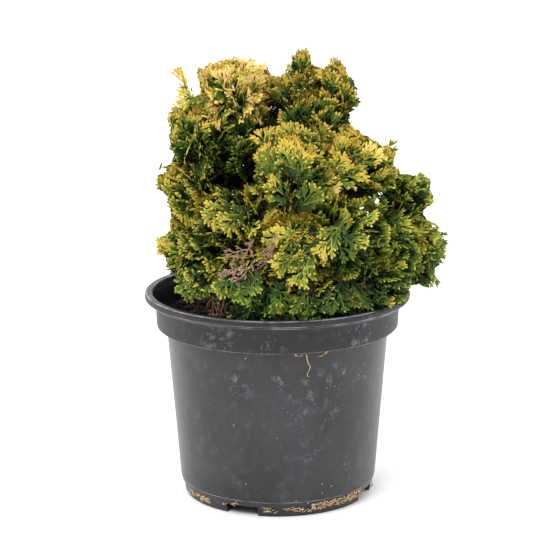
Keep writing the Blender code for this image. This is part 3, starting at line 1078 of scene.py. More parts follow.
    def block(self, azimuth: float) -> bpy.types.Object:
        """Makes the cutter of one gap in the foot ring.

        Args:
            azimuth: Where the gap is, from -Y towards +X.

        Returns:
            The cutter.
        """
        out = self.toward(azimuth)
        width = 2 * self.foot_radius * math.sin(self.drain_arc / 2)
        size = Matrix.Diagonal((width, 22 * MM, 2 * self.foot_height - 0.4 * MM, 1))
        at = Matrix.Translation(out * (self.foot_radius + 0.5 * MM))
        shape = bmesh.new()
        bmesh.ops.create_cube(shape, size=1, matrix=at @ Matrix.Rotation(azimuth, 4, "Z") @ size)
        runs = [(edge, edge.verts[1].co - edge.verts[0].co) for edge in shape.edges]
        upper = [(edge, run) for edge, run in runs if edge.verts[0].co.z > 0 and abs(run.z) < 5 * MM]
        sides = [edge for edge, run in upper if abs(run.dot(out)) > 5 * MM]
        bmesh.ops.bevel(shape, geom=sides, offset=1.6 * MM, segments=3, affect="EDGES", profile=0.5)
        return add_shape("foot_gap", shape)

    def hole(self, azimuth: float) -> bpy.types.Object:
        """Makes the cutter of one round drain hole.

        Args:
            azimuth: Where the hole is, from -Y towards +X.

        Returns:
            The cutter.
        """
        shape = bmesh.new()
        bmesh.ops.create_cone(
            shape,
            cap_ends=True,
            segments=32,
            radius1=self.hole_radius,
            radius2=self.hole_radius,
            depth=4 * self.channel,
            matrix=Matrix.Translation(self.toward(azimuth) * self.hole_ring),
        )
        return add_shape("drain_hole", shape)

    def shell(self) -> bpy.types.Mesh:
        """Turns the pot and cuts its gaps and holes.

        Returns:
            The pot's mesh.
        """
        profile = rounded([*self.inside(), *self.outside()])
        mesh = bpy.data.meshes.new("pot_profile")
        edges = [(k, k + 1) for k in range(len(profile) - 1)]
        mesh.from_pydata([(p.x, 0, p.y) for p in profile], edges, [])
        made = add_object("pot_turned", mesh)
        screw = made.modifiers.new("turn", "SCREW")
        screw.steps = screw.render_steps = self.steps
        screw.use_merge_vertices = True
        screw.merge_threshold = 0.01 * MM
        screw.use_smooth_shade = True
        cutters = []
        for k in range(self.drain_count):
            azimuth = self.drain_azimuth + math.tau * k / self.drain_count
            cutters += [self.block(azimuth), self.hole(azimuth)]
        for cutter in cutters:
            cut = made.modifiers.new("cut", "BOOLEAN")
            cut.operation = "DIFFERENCE"
            cut.solver = "MANIFOLD"
            cut.object = cutter
        graph = bpy.context.evaluated_depsgraph_get()
        shell = bpy.data.meshes.new_from_object(made.evaluated_get(graph))
        for used in (made, *cutters):
            bpy.data.objects.remove(used)
        shell.set_sharp_from_angle(angle=self.sharp_over)
        return shell

    def build(self, effects: Effects) -> None:
        """Makes the dressed pot.

        Args:
            effects: The shared shader groups.
        """
        smudges = tuple(
            (self.on_wall(one.across, one.down), one.reach_mm * MM, one.strength) for one in SMUDGES
        )
        lip_foot = self.height - self.lip_depth
        # Heights of the pale lines, painted highlights: lip top, lip foot, bead, collar foot and wall foot.
        edges = (
            self.height - 0.7 * MM,
            lip_foot + 0.5 * MM,
            lip_foot - self.bead_depth + 1.3 * MM,
            self.collar_foot + 0.4 * MM,
            self.wall_foot,
        )
        # Heights of the painted shadow lines in the grooves under the lip and the bead.
        grooves = (lip_foot - 0.7 * MM, lip_foot - self.bead_depth - 0.4 * MM)
        # Radius inside which the collar's inner side takes painted shade.
        inner = self.collar_radius - 1.5 * MM
        finish = PlasticFinish(smudges, edges, grooves, self.collar_foot, inner).build(effects)
        add_piece("pot_shell", self.shell(), [finish], ["pot"], Slot.POT)


@dataclass
class SoilBed:
    """The filled root ball with the loose bark chips and straw that lie on it."""

    pot: NurseryPot
    top: float = 171 * MM
    fall: float = 4 * MM
    crown_radius: float = 30 * MM
    gap: float = 0.3 * MM
    rings: int = 46
    spokes: int = 132
    relief: float = 1.7 * MM
    chips: int = 700
    chip_length: tuple[float, float] = (2.5 * MM, 10 * MM)
    flake_bend: float = 0.12
    straws: int = 150
    heaps: tuple[tuple[float, float, float, int], ...] = (
        (174, 308, 6, 40),
        (181, 311, 6, 30),
        (192, 307, 5, 30),
        (201, 311, 8, 60),
        (213, 315, 6, 40),
        (196, 316, 5, 24),
        (250, 319, 9, 26),
        (355, 311, 9, 20),
    )  # pixels of the photograph, reach in millimetres and count

    def edge(self) -> float:
        """Gives the soil's radius at its surface.

        Returns:
            The radius, where the soil meets the wall.
        """
        pot = self.pot
        share = (self.top - self.fall - pot.wall_foot) / (pot.collar_foot - pot.wall_foot)
        outer = pot.wall_foot_radius + (pot.shoulder_radius - pot.wall_foot_radius) * share
        return outer - pot.wall - self.gap

    def level(self, radius: float) -> float:
        """Gives the height of the soil's smooth surface at a radius."""
        share = max(radius - self.crown_radius, 0) / (self.edge() - self.crown_radius)
        return self.top - self.fall * min(share, 1.0)

    def surface(self, x: float, y: float) -> float:
        """Gives the height of the crumbled surface at a place.

        Args:
            x: The place, across.
            y: The place, in depth.

        Returns:
            The height, on the ledge too, where the radius is larger than the soil's.
        """
        radius = math.hypot(x, y)
        ledge = radius - self.edge()
        if ledge > 1 * MM:
            return self.pot.collar_foot + 2 * MM + 0.4 * ledge
        place = Vector((x, y, 0.3))
        crumbs = 0.6 * noise.noise(place * 90) + 0.4 * noise.noise(place * 260)
        worn = min(1.0, (self.edge() - radius) / (6 * MM))
        return self.level(radius) - self.relief * 0.5 + crumbs * self.relief * max(worn, 0.1)

    def seen(self, across: float, down: float) -> Vector:
        """Finds the place on the soil that a pixel of the photograph shows."""
        start, aim = PHOTO.place(), PHOTO.ray(across, down)
        return start + aim * ((self.top - self.fall - start.z) / aim.z)

    def ball(self) -> Block:
        """Makes the root ball.

        Returns:
            The points and the triangles.
        """
        pot = self.pot
        floor = pot.channel + pot.wall + self.gap
        low = pot.wall_foot_radius - pot.wall - self.gap - 0.5 * MM
        points = [(0.0, 0.0, self.surface(0, 0))]
        for ring in range(1, self.rings + 1):
            radius = self.edge() * ring / self.rings
            for k in range(self.spokes):
                x = radius * math.cos(math.tau * k / self.spokes)
                y = radius * math.sin(math.tau * k / self.spokes)
                points.append((x, y, self.surface(x, y)))
        for radius, height in ((low, pot.wall_foot + 3 * MM), (low - 4 * MM, floor)):
            for k in range(self.spokes):
                turn = math.tau * k / self.spokes
                points.append((radius * math.cos(turn), radius * math.sin(turn), height))
        points.append((0.0, 0.0, floor))
        here = np.arange(self.spokes)
        after = (here + 1) % self.spokes
        faces = [np.stack([np.zeros_like(here), 1 + here, 1 + after], axis=1)]
        for ring in range(self.rings + 1):
            inner, outer = 1 + ring * self.spokes, 1 + (ring + 1) * self.spokes
            faces.append(np.stack([inner + here, outer + here, outer + after], axis=1))
            faces.append(np.stack([inner + here, outer + after, inner + after], axis=1))
        last = 1 + (self.rings + 1) * self.spokes
        middle = np.full_like(here, len(points) - 1)
        faces.append(np.stack([last + here, middle, last + after], axis=1))
        return np.array(points), np.concatenate(faces)

    def flake(self, rng: random.Random, long: float, wide: float, thick: float) -> Block:
        """Makes one splintered flake, lying along X.

        Args:
            rng: The source of chance.
            long: Its length.
            wide: Its width.
            thick: Its thickness.

        Returns:
            The points and the triangles.
        """
        shape = bmesh.new()
        bmesh.ops.create_cube(shape, size=1)
        for vertex in shape.verts:
            x, y, z = vertex.co
            narrow = rng.uniform(0.35, 1.0)
            shorter, thinner = rng.uniform(0.7, 1.0), rng.uniform(0.5, 1.0)
            bent = self.flake_bend * wide * rng.uniform(-1, 1)
            vertex.co = Vector((x * long * shorter, y * wide * narrow, z * thick * thinner + bent))
        bmesh.ops.triangulate(shape, faces=shape.faces)
        points = np.array([v.co for v in shape.verts])
        faces = np.array([[v.index for v in f.verts] for f in shape.faces])
        shape.free()
        return points, faces

    def lay(self, rng: random.Random, points: np.ndarray, x: float, y: float, sunk: float) -> np.ndarray:
        """Lays a flake on the soil.

        Args:
            rng: The source of chance.
            points: The flake's points.
            x: Where it lies.
            y: Where it lies.
            sunk: How deep its middle is under the surface.

        Returns:
            The points in place.
        """
        turn = Matrix.Rotation(rng.uniform(0, math.tau), 3, "Z")
        turn = turn @ Matrix.Rotation(rng.uniform(-0.5, 0.5), 3, "Y")
        turn = turn @ Matrix.Rotation(rng.uniform(-0.7, 0.7), 3, "X")
        return points @ np.array(turn).T + np.array((x, y, self.surface(x, y) - sunk))

    def anywhere(self, rng: random.Random, margin: float) -> tuple[float, float]:
        """Picks a place on the soil, a margin inside its edge.

        Args:
            rng: The source of chance.
            margin: How far it keeps from the edge.

        Returns:
            The place, across and in depth.
        """
        radius = (self.edge() - margin) * math.sqrt(rng.random())
        turn = rng.uniform(0, math.tau)
        return radius * math.cos(turn), radius * math.sin(turn)

    def strew_chips(self, rng: random.Random, chips: MeshStore) -> None:
        """Strews bark chips and straw all over the soil.

        Args:
            rng: The source of chance.
            chips: The store that takes them.
        """
        for _ in range(self.chips):
            x, y = self.anywhere(rng, 4 * MM)
            long = rng.uniform(*self.chip_length)
            points, faces = self.flake(rng, long, long * rng.uniform(0.25, 0.6), rng.uniform(0.6, 1.8) * MM)
            placed = self.lay(rng, points, x, y, 0.2 * MM)
            chips.add(placed, faces, rng.choices((0, 1, 2), (6, 3, 1))[0])
        for _ in range(self.straws):
            x, y = self.anywhere(rng, 6 * MM)
            points, faces = self.flake(rng, rng.uniform(6, 14) * MM, rng.uniform(0.7, 1.3) * MM, 0.6 * MM)
            chips.add(self.lay(rng, points, x, y, -0.3 * MM), faces, 3)

    def heap_chips(self, rng: random.Random, chips: MeshStore) -> None:
        """Heaps paler chips where the photograph shows them.

        Args:
            rng: The source of chance.
            chips: The store that takes them.
        """
        for across, down, reach, count in self.heaps:
            middle = self.seen(across, down)
            for _ in range(count):
                x = middle.x + rng.gauss(0, reach / 2) * MM
                y = middle.y + rng.gauss(0, reach) * MM
                squeeze = min(1.0, (self.pot.collar_radius - 6 * MM) / math.hypot(x, y))
                long = rng.uniform(2, 6.5) * MM
                points, faces = self.flake(rng, long, long * rng.uniform(0.2, 0.5), 1.2 * MM)
                placed = self.lay(rng, points, x * squeeze, y * squeeze, -rng.uniform(0, 5) * MM)
                chips.add(placed, faces, rng.choices((1, 2, 3), (1, 4, 6))[0])

    def build(self, effects: Effects) -> None:
        """Makes the soil and what lies on it.

        Args:
            effects: The shared shader groups.
        """
        rng = random.Random(SEED + 1)
        ball, chips = MeshStore(), MeshStore()
        ball.add(*self.ball())
        add_piece("soil_bed", ball.mesh("soil_bed"), [PEAT.build(effects)], ["soil"], Slot.SOIL)
        self.strew_chips(rng, chips)
        self.heap_chips(rng, chips)
        finishes = [kind.build(effects) for kind in CHIP_FINISHES]
        add_piece("bark_chips", chips.mesh("bark_chips", False), finishes, [], Slot.SOIL)


class Bit(Enum):
    """Kinds of small litter that cling to the pot, numbered as the piece's materials."""

    STRAW = 0
    PRILL = 1
    CRUMB = 2
    NICK = 3


@dataclass(frozen=True)
class Speck:
    """A speck on the pot: its pixel in the photograph, its radius and its kind."""

    across: float
    down: float
    radius_mm: float
    kind: Bit = Bit.PRILL


@dataclass(frozen=True)
class Strew:
    """A stretch of litter on the pot, between two pixels of the photograph."""

    start: tuple[float, float]
    end: tuple[float, float]
    count: int
    straw_share: float
    drop: float = 2.0


SPECKS = (
    Speck(277, 438, 0.8),
    Speck(315, 450, 0.7),
    Speck(344, 464, 1.0),
    Speck(322, 484, 0.8),
    Speck(331, 486, 0.8),
    Speck(322, 493, 0.7),
    Speck(349, 478, 0.6),
    Speck(246, 484, 0.6),
    Speck(296, 501, 0.8),
    Speck(369, 441, 0.6),
    Speck(386, 327, 0.7, Bit.STRAW),
    Speck(234, 425, 0.8, Bit.STRAW),
    Speck(245, 358, 0.7, Bit.STRAW),
    Speck(308, 503, 0.8, Bit.CRUMB),
    Speck(236, 502, 0.8, Bit.CRUMB),
    Speck(223, 327, 1.6, Bit.NICK),
    Speck(226, 329, 1.5, Bit.NICK),
)
STREWN = (
    Strew((189, 490), (210, 501), 60, 0.25),
    Strew((222, 503), (240, 504), 6, 0.5, 1.0),
    Strew((263, 509), (277, 511), 16, 0.95),
    Strew((284, 509), (312, 509), 22, 0.4),
    Strew((311, 507), (343, 500), 100, 0.4, 3.0),
    Strew((343, 500), (360, 491), 70, 0.38, 3.0),
    Strew((372, 486), (376, 483), 8, 0.2),
    Strew((294, 355), (303, 356), 6, 1.0, 0.5),
    Strew((320, 356), (326, 352), 6, 0.8, 0.5),
    Strew((244, 357), (247, 359), 2, 1.0, 0.2),
)
HANGING_STRAW = ((306, 354), (308, 363), (310, 367), (307, 374), (309, 377))  # pixels


@dataclass
class PotLitter:
    """Straw, crumbs of peat and feed that cling to the pot, where the photograph has them."""

    pot: NurseryPot
    soil: SoilBed
    straw_radius: float = 0.5 * MM
    off_wall: float = 0.35 * MM

    def outward(self, point: Vector) -> Vector:
        """Gives the level direction from the pot's axis to a point."""
        return Vector((point.x, point.y, 0)).normalized()

    def speck(self, speck: Speck) -> Block:
        """Makes one speck, flat against the pot.

        Args:
            speck: The speck.

        Returns:
            The points and the triangles.
        """
        at = self.pot.on_wall(speck.across, speck.down)
        out = self.outward(at)
        at = at + out * self.off_wall
        along = out.cross(UP)
        size = speck.radius_mm * MM
        points = [
            at + along * size,
            at + Vector((0, 0, size * 0.8)),
            at - along * size,
            at - Vector((0, 0, size * 0.8)),
            at + out * min(size * 0.7, 0.5 * MM),
            at - out * size * 0.3,
        ]
        faces = []
        for k in range(4):
            faces += [(k, (k + 1) % 4, 4), ((k + 1) % 4, k, 5)]
        return np.array(points), np.array(faces)

    def strew(self, rng: random.Random, strew: Strew) -> Iterator[Block]:
        """Makes the flakes of one stretch of litter.

        Args:
            rng: The source of chance.
            strew: The stretch.

        Yields:
            The points and the triangles of each flake.
        """
        for _ in range(strew.count):
            share = rng.random()
            across = strew.start[0] + (strew.end[0] - strew.start[0]) * share
            down = strew.start[1] + (strew.end[1] - strew.start[1]) * share
            down += rng.uniform(-strew.drop, strew.drop)
            at = self.pot.on_wall(across, down)
            out = self.outward(at)
            along = out.cross(UP)
            long = rng.uniform(1.5, 5.0) * MM
            wide = rng.uniform(0.5, 1.2) * MM
            points, faces = self.soil.flake(rng, long, wide, 0.7 * MM)
            lean = rng.gauss(0, 0.6)
            ahead = (along * math.cos(lean) + Vector((0, 0, math.sin(lean)))).normalized()
            turn = Matrix((ahead, ahead.cross(out), out)).transposed()
            off = rng.uniform(0.2, 1.6) * MM
            placed = points @ np.array(turn).T + np.array(at + out * off)
            placed[:, 2] = np.maximum(placed[:, 2], 0.2 * MM)
            yield placed, faces

    def build(self, effects: Effects) -> None:
        """Makes the litter.

        Args:
            effects: The shared shader groups.
        """
        rng = random.Random(SEED + 4)
        store = MeshStore()
        for speck in SPECKS:
            store.add(*self.speck(speck), speck.kind.value)
        for strew in STREWN:
            for points, faces in self.strew(rng, strew):
                kind = Bit.STRAW if rng.random() < strew.straw_share else Bit.CRUMB
                store.add(points, faces, kind.value)
        marks = [self.pot.on_wall(*pixel) for pixel in HANGING_STRAW]
        marks = [mark + self.outward(mark) * 2 * self.off_wall for mark in marks]
        shares = np.linspace(0, 1, 17)
        path = [on_curve(marks, share) for share in shares]
        store.add(*tube(path, self.straw_radius * (1 - 0.5 * shares), 6), Bit.STRAW.value)
        finishes = [kind.build(effects) for kind in LITTER_FINISHES]
        add_piece("pot_litter", store.mesh("pot_litter", False), finishes, [], Slot.SOIL)


@dataclass(frozen=True)
class TrunkPlan:
    """The trunk's middle line and its girth."""

    path_mm: tuple[tuple[float, float, float], ...] = (
        (0, 0, 171.3),
        (-4, 3, 235),
        (4, 2, 300),
        (12, 13, 345),
        (19, 19, 380),
    )
    foot_radius: float = 8.5 * MM
    tip_radius: float = 2.6 * MM
    flare: float = 5.0 * MM
    flare_height: float = 12 * MM
    tip_aim: float = 0.97

    def path(self) -> list[Vector]:
        """Gives the points that the middle line passes."""
        return [Vector(point) * MM for point in self.path_mm]

    def radius(self, height: float) -> float:
        """Gives the trunk's radius at a height, with the flare of its roots.

        Args:
            height: Height above the pot's underside.

        Returns:
            The radius.
        """
        low, high = self.path()[0].z, self.path()[-1].z
        share = (height - low) / (high - low)
        flare = self.flare * math.exp(-3 * (height - low) / self.flare_height)
        return self.foot_radius + (self.tip_radius - self.foot_radius) * share + flare

    def point(self, height: float) -> Vector:
        """Finds the trunk's middle at a height.

        Args:
            height: Height above the pot's underside.

        Returns:
            The point.
        """
        path, low, high = self.path(), 0.0, 1.0
        for _ in range(30):
            middle = (low + high) / 2
            if on_curve(path, middle).z < height:
                low = middle
            else:
                high = middle
        return on_curve(path, low)


TRUNK = TrunkPlan()


@dataclass(frozen=True)
class LimbRule:
    """How boughs and stems run, as in the frame's solids."""

    gap: float = 0.3 * MM
    root_radius: float = 3.1 * MM
    tip_radius: float = 1.9 * MM
    spans: int = 5
    lift: float = 0.35
    entry: float = 0.68
    stem_spans: int = 3
    stem_reach: float = 0.4
    stem_tip_radius: float = 1.2 * MM
    twig_middle: float = 0.55
    twig_spread: float = 0.4


LIMB = LimbRule()


@dataclass
class Mass:
    """One mass of foliage with its bough, its stem and the space that it keeps to."""

    name: str
    middle_mm: tuple[float, float, float]
    half_mm: tuple[float, float, float]
    fork_mm: float | None
    rise_deg: float
    region: Region
    # How gold the mass runs, with painted light and shade of its place in the crown: lower in the hollow, the
    # heart and the skirt, which lie in shade.
    gilding: float
    tips: Tint = GOLD
    squareness: float = 2.5
    walls: list[tuple[Vector, Vector]] = field(default_factory=list)

    def __post_init__(self) -> None:
        """Works out the mass's middle, its growth and its limbs."""
        self.middle = Vector(self.middle_mm) * MM
        self.half = Vector(self.half_mm) * MM
        self.outward = Vector((*self.middle.xy, 0)).normalized()
        rise = math.radians(self.rise_deg)
        self.growth = self.outward * math.cos(rise) + Vector((0, 0, math.sin(rise)))
        self.bough = self.bough_path() if self.fork_mm else None
        self.stem = self.stem_path()

    def reach(self, direction: Vector) -> float:
        """Gives the distance from the middle to the mass's surface along a direction."""
        whole = sum(abs(d / h) ** self.squareness for d, h in zip(direction, self.half))
        return whole ** (-1 / self.squareness)

    def depth(self, points: np.ndarray) -> np.ndarray:
        """Gives how far out points lie, as shares of the way to the mass's surface."""
        away = np.abs((points - np.array(self.middle)) / np.array(self.half))
        return (away**self.squareness).sum(axis=-1) ** (1 / self.squareness)

    def bough_path(self) -> list[Vector]:
        """Draws the bough, from inside the trunk to where it enters the mass.

        Returns:
            The points of its middle line.
        """
        root = TRUNK.point(self.fork_mm * MM)
        out = self.middle - root
        level = Vector((out.x, out.y, 0)).normalized()
        lift = (level + Vector((0, 0, LIMB.lift * out.z / out.length))).normalized()
        bend = root + lift * out.length * 0.5
        inward = (bend - self.middle).normalized()
        end = self.middle + inward * (self.reach(inward) * LIMB.entry)
        return arc(root, bend, end, LIMB.spans)

    def stem_path(self) -> list[Vector]:
        """Draws the stem that goes on from the bough or the trunk.

        Returns:
            The points of its middle line.
        """
        path = self.bough or TRUNK.path()
        before = path[-2] if self.bough else on_curve(path, TRUNK.tip_aim)
        along = (path[-1] - before).normalized()
        start = path[-1] + along * LIMB.gap
        turn = start + along * LIMB.stem_tip_radius
        end = self.middle + self.growth * self.reach(self.growth) * LIMB.stem_reach
        bend = turn + along * (end - turn).length * 0.5
        return [start] + arc(turn, bend, end, LIMB.stem_spans)

    def holds(self, points: np.ndarray, slack: float) -> np.ndarray:
        """Tells which points are on this mass's side of every wall of its space.

        Args:
            points: An array of points.
            slack: How far past a wall still counts.

        Returns:
            True or False for each.
        """
        inside = np.ones(len(points), bool)
        for at, out in self.walls:
            inside &= (points - np.array(at)) @ np.array(out) < slack
        return inside

    def root_for(self, aim: Vector) -> Vector:
        """Finds where on the stem the twig of a spray leaves it."""
        return on_curve(self.stem, LIMB.twig_middle + LIMB.twig_spread * aim.dot(self.growth))


def crown_masses() -> list[Mass]:
    """Lists the crown's masses as in the frame, with the colours of each and the painted light and shade
    folded into their gilding.

    Returns:
        The masses, walled off from each other.
    """
    masses = [
        Mass("middle_spire", (25, 22, 408), (23, 25, 30), None, 88, CREST, 0.40, GOLD),
        Mass("left_crest", (-42, -8, 396), (42, 37, 37), 324, 84, CREST, 0.50, CREAM),
        Mass("right_crest", (56, 6, 390), (28, 33, 37), 332, 84, CREST, 0.24, AMBER),
        Mass("back_crest", (-8, 60, 374), (40, 34, 36), 312, 70, CREST, 0.36, GOLD),
        Mass("left_shoulder", (-79, -20, 352), (36, 37, 37), 294, 70, SHOULDERS, 0.22, GOLD),
        Mass("heart", (36, -18, 364), (37, 30, 35), 342, 60, CREST, 0.04, AMBER),
        Mass("hollow_left", (-30, -4, 340), (36, 32, 38), 305, 50, SHOULDERS, -0.14, LIME),
        Mass("front_spire", (15, -60, 328), (42, 35, 46), 270, 66, FRONT, 0.22, GOLD),
        Mass("right_shoulder", (74, -32, 326), (45, 38, 40), 288, 36, SHOULDERS, 0.28, GOLD),
        Mass("mid_left", (-82, -24, 301), (36, 36, 34), 252, 5, SHOULDERS, 0.22, GOLD),
        Mass("back_right", (64, 56, 318), (42, 39, 44), 264, 45, BACK, 0.24, GOLD),
        Mass("back_left", (-64, 52, 316), (40, 38, 44), 262, 40, BACK, 0.28, GOLD),
        Mass("back_middle", (-2, 90, 318), (42, 36, 44), 246, 40, BACK, 0.26, GOLD),
        Mass("right_arm", (122, 4, 290), (36, 37, 32), 240, 25, SHOULDERS, 0.12, LIME),
        Mass("brow_left", (-38, -68, 286), (43, 33, 32), 236, 20, FRONT, 0.16, GOLD),
        Mass("front_right", (66, -72, 270), (42, 35, 40), 226, 0, FRONT, 0.12, LIME),
        Mass("front", (14, -94, 262), (41, 31, 36), 216, 0, FRONT, 0.28, GOLD),
        Mass("low_left", (-82, -24, 248), (35, 37, 33), 214, -5, SKIRT, 0.26, GOLD),
        Mass("front_left", (-66, -70, 244), (31, 31, 39), 206, -45, SKIRT, 0.10, GOLD),
        Mass("front_middle", (-27, -88, 246), (32, 29, 36), 199, -20, FRONT, 0.08, GOLD),
        Mass("right_middle", (102, -30, 252), (35, 33, 38), 214, -10, SKIRT, 0.0, LIME),
        Mass("low_right", (130, 2, 241), (35, 40, 46), 204, -25, SKIRT, 0.16, LIME),
        Mass("skirt_front", (-14, -90, 209), (39, 26, 24), 185, -20, SKIRT, -0.02, LIME),
        Mass("skirt_front_right", (44, -90, 213), (38, 27, 26), 190, -20, SKIRT, 0.03, LIME),
        Mass("skirt_right", (92, -66, 221), (38, 31, 27), 196, -15, SKIRT, 0.04, LIME),
        Mass("back_low_left", (-70, 60, 238), (41, 40, 40), 222, -20, BACK, 0.20, LIME),
        Mass("back_low", (0, 98, 234), (43, 37, 40), 208, -20, BACK, 0.20, LIME),
        Mass("back_low_right", (76, 72, 238), (43, 39, 42), 216, -20, BACK, 0.16, LIME),
    ]
    for mass in masses:
        for other in masses:
            if other is mass:
                continue
            across = other.middle - mass.middle
            out = across.normalized()
            share = mass.reach(out) / (mass.reach(out) + other.reach(-out))
            mass.walls.append((mass.middle + across * share, out))
    return masses


@dataclass
class Limbs:
    """The trunk and the boughs, with the relief of bark that peels in strips."""

    masses: list[Mass]
    trunk_rings: int = 130
    trunk_sides: int = 40
    bough_rings: int = 30
    bough_sides: int = 14
    relief: float = 0.16

    def bark_relief(self, path: Sequence[Vector], sides: int, depth: float) -> np.ndarray:
        """Gives the factors that raise strips of bark on a limb.

        Args:
            path: The limb's middle line.
            sides: Its number of sides.
            depth: The strips' height as a share of the radius.

        Returns:
            A factor for each ring and side.
        """
        rows, run = [], 0.0
        for k, point in enumerate(path):
            run += (point - path[k - 1]).length if k else 0.0
            row = []
            for j in range(sides):
                turn = math.tau * j / sides
                around = Vector((2.4 * math.cos(turn), 2.4 * math.sin(turn), run * 28))
                strips = noise.noise(around) + 0.5 * noise.noise(around * 2.3)
                row.append(1 + depth * strips)
            rows.append(row)
        return np.array(rows)

    def trunk(self) -> Block:
        """Makes the trunk.

        Returns:
            The points and the triangles.
        """
        low, high = TRUNK.path()[0].z, TRUNK.path()[-1].z
        heights = [low + (high - low) * (k / (self.trunk_rings - 1)) ** 1.25 for k in range(self.trunk_rings)]
        path = [TRUNK.point(height) for height in heights]
        path[0] = TRUNK.path()[0]
        radii = [TRUNK.radius(height) for height in heights]
        return tube(path, radii, self.trunk_sides, self.bark_relief(path, self.trunk_sides, self.relief))

    def bough(self, mass: Mass) -> Block:
        """Makes the bough of a mass.

        Args:
            mass: The mass that it carries.

        Returns:
            The points and the triangles.
        """
        shares = [k / (self.bough_rings - 1) for k in range(self.bough_rings)]
        path = [on_curve(mass.bough, share) for share in shares]
        radii = [LIMB.root_radius + (LIMB.tip_radius - LIMB.root_radius) * share for share in shares]
        return tube(path, radii, self.bough_sides, self.bark_relief(path, self.bough_sides, self.relief))

    def build(self, effects: Effects) -> None:
        """Makes the trunk's piece and the boughs' piece.

        Args:
            effects: The shared shader groups.
        """
        finish = BarkFinish().build(effects)
        trunk, boughs = MeshStore(), MeshStore()
        trunk.add(*self.trunk())
        carried = [mass for mass in self.masses if mass.bough]
        for mass in carried:
            boughs.add(*self.bough(mass))
        nodes = [f"bough_{mass.name}" for mass in carried]
        add_piece("trunk_bark", trunk.mesh("trunk_bark"), [finish], ["trunk"], Slot.BARK)
        add_piece("boughs_bark", boughs.mesh("boughs_bark"), [finish], nodes, Slot.BARK)


@dataclass(frozen=True)
class Fan:
    """The fingers of one flat spray, laid out in its plane with its foot at the origin."""

    length: float
    starts: np.ndarray
    headings: np.ndarray
    lengths: np.ndarray
    widths: np.ndarray
    shares: np.ndarray  # how far out each finger's tip is, from 0 to 1
    lifts: np.ndarray
    stems: np.ndarray  # 1 for an axis or a side branch, 0 for a finger

    def points(self) -> np.ndarray:
        """Makes the fingers: a low ridge, widest past the middle, with a blunt tip.

        Returns:
            Nine points for each finger, in rings of three.
        """
        ahead = np.stack([np.cos(self.headings), np.sin(self.headings)], axis=1)
        across = np.stack([-ahead[:, 1], ahead[:, 0]], axis=1)
        rings = []
        for along, half, thick in ((-0.04, 0.32, 0.2), (0.64, 0.5, 0.36), (0.98, 0.31, 0.16)):
            centre = self.starts + ahead * (along * self.lengths)[:, None]
            out = across * (half * self.widths)[:, None]
            rise = self.lifts * along * self.lengths
            left = np.column_stack([centre + out, rise])
            top = np.column_stack([centre, rise + thick * self.widths])
            right = np.column_stack([centre - out, rise])
            rings += [left, top, right]
        return np.stack(rings, axis=1)


STALK_FACES = np.array([(0, 3, 4), (0, 4, 1), (1, 4, 5), (1, 5, 2)])
TIP_FACES = np.array([(0, 3, 4), (0, 4, 1), (1, 4, 5), (1, 5, 2), (3, 5, 4)])


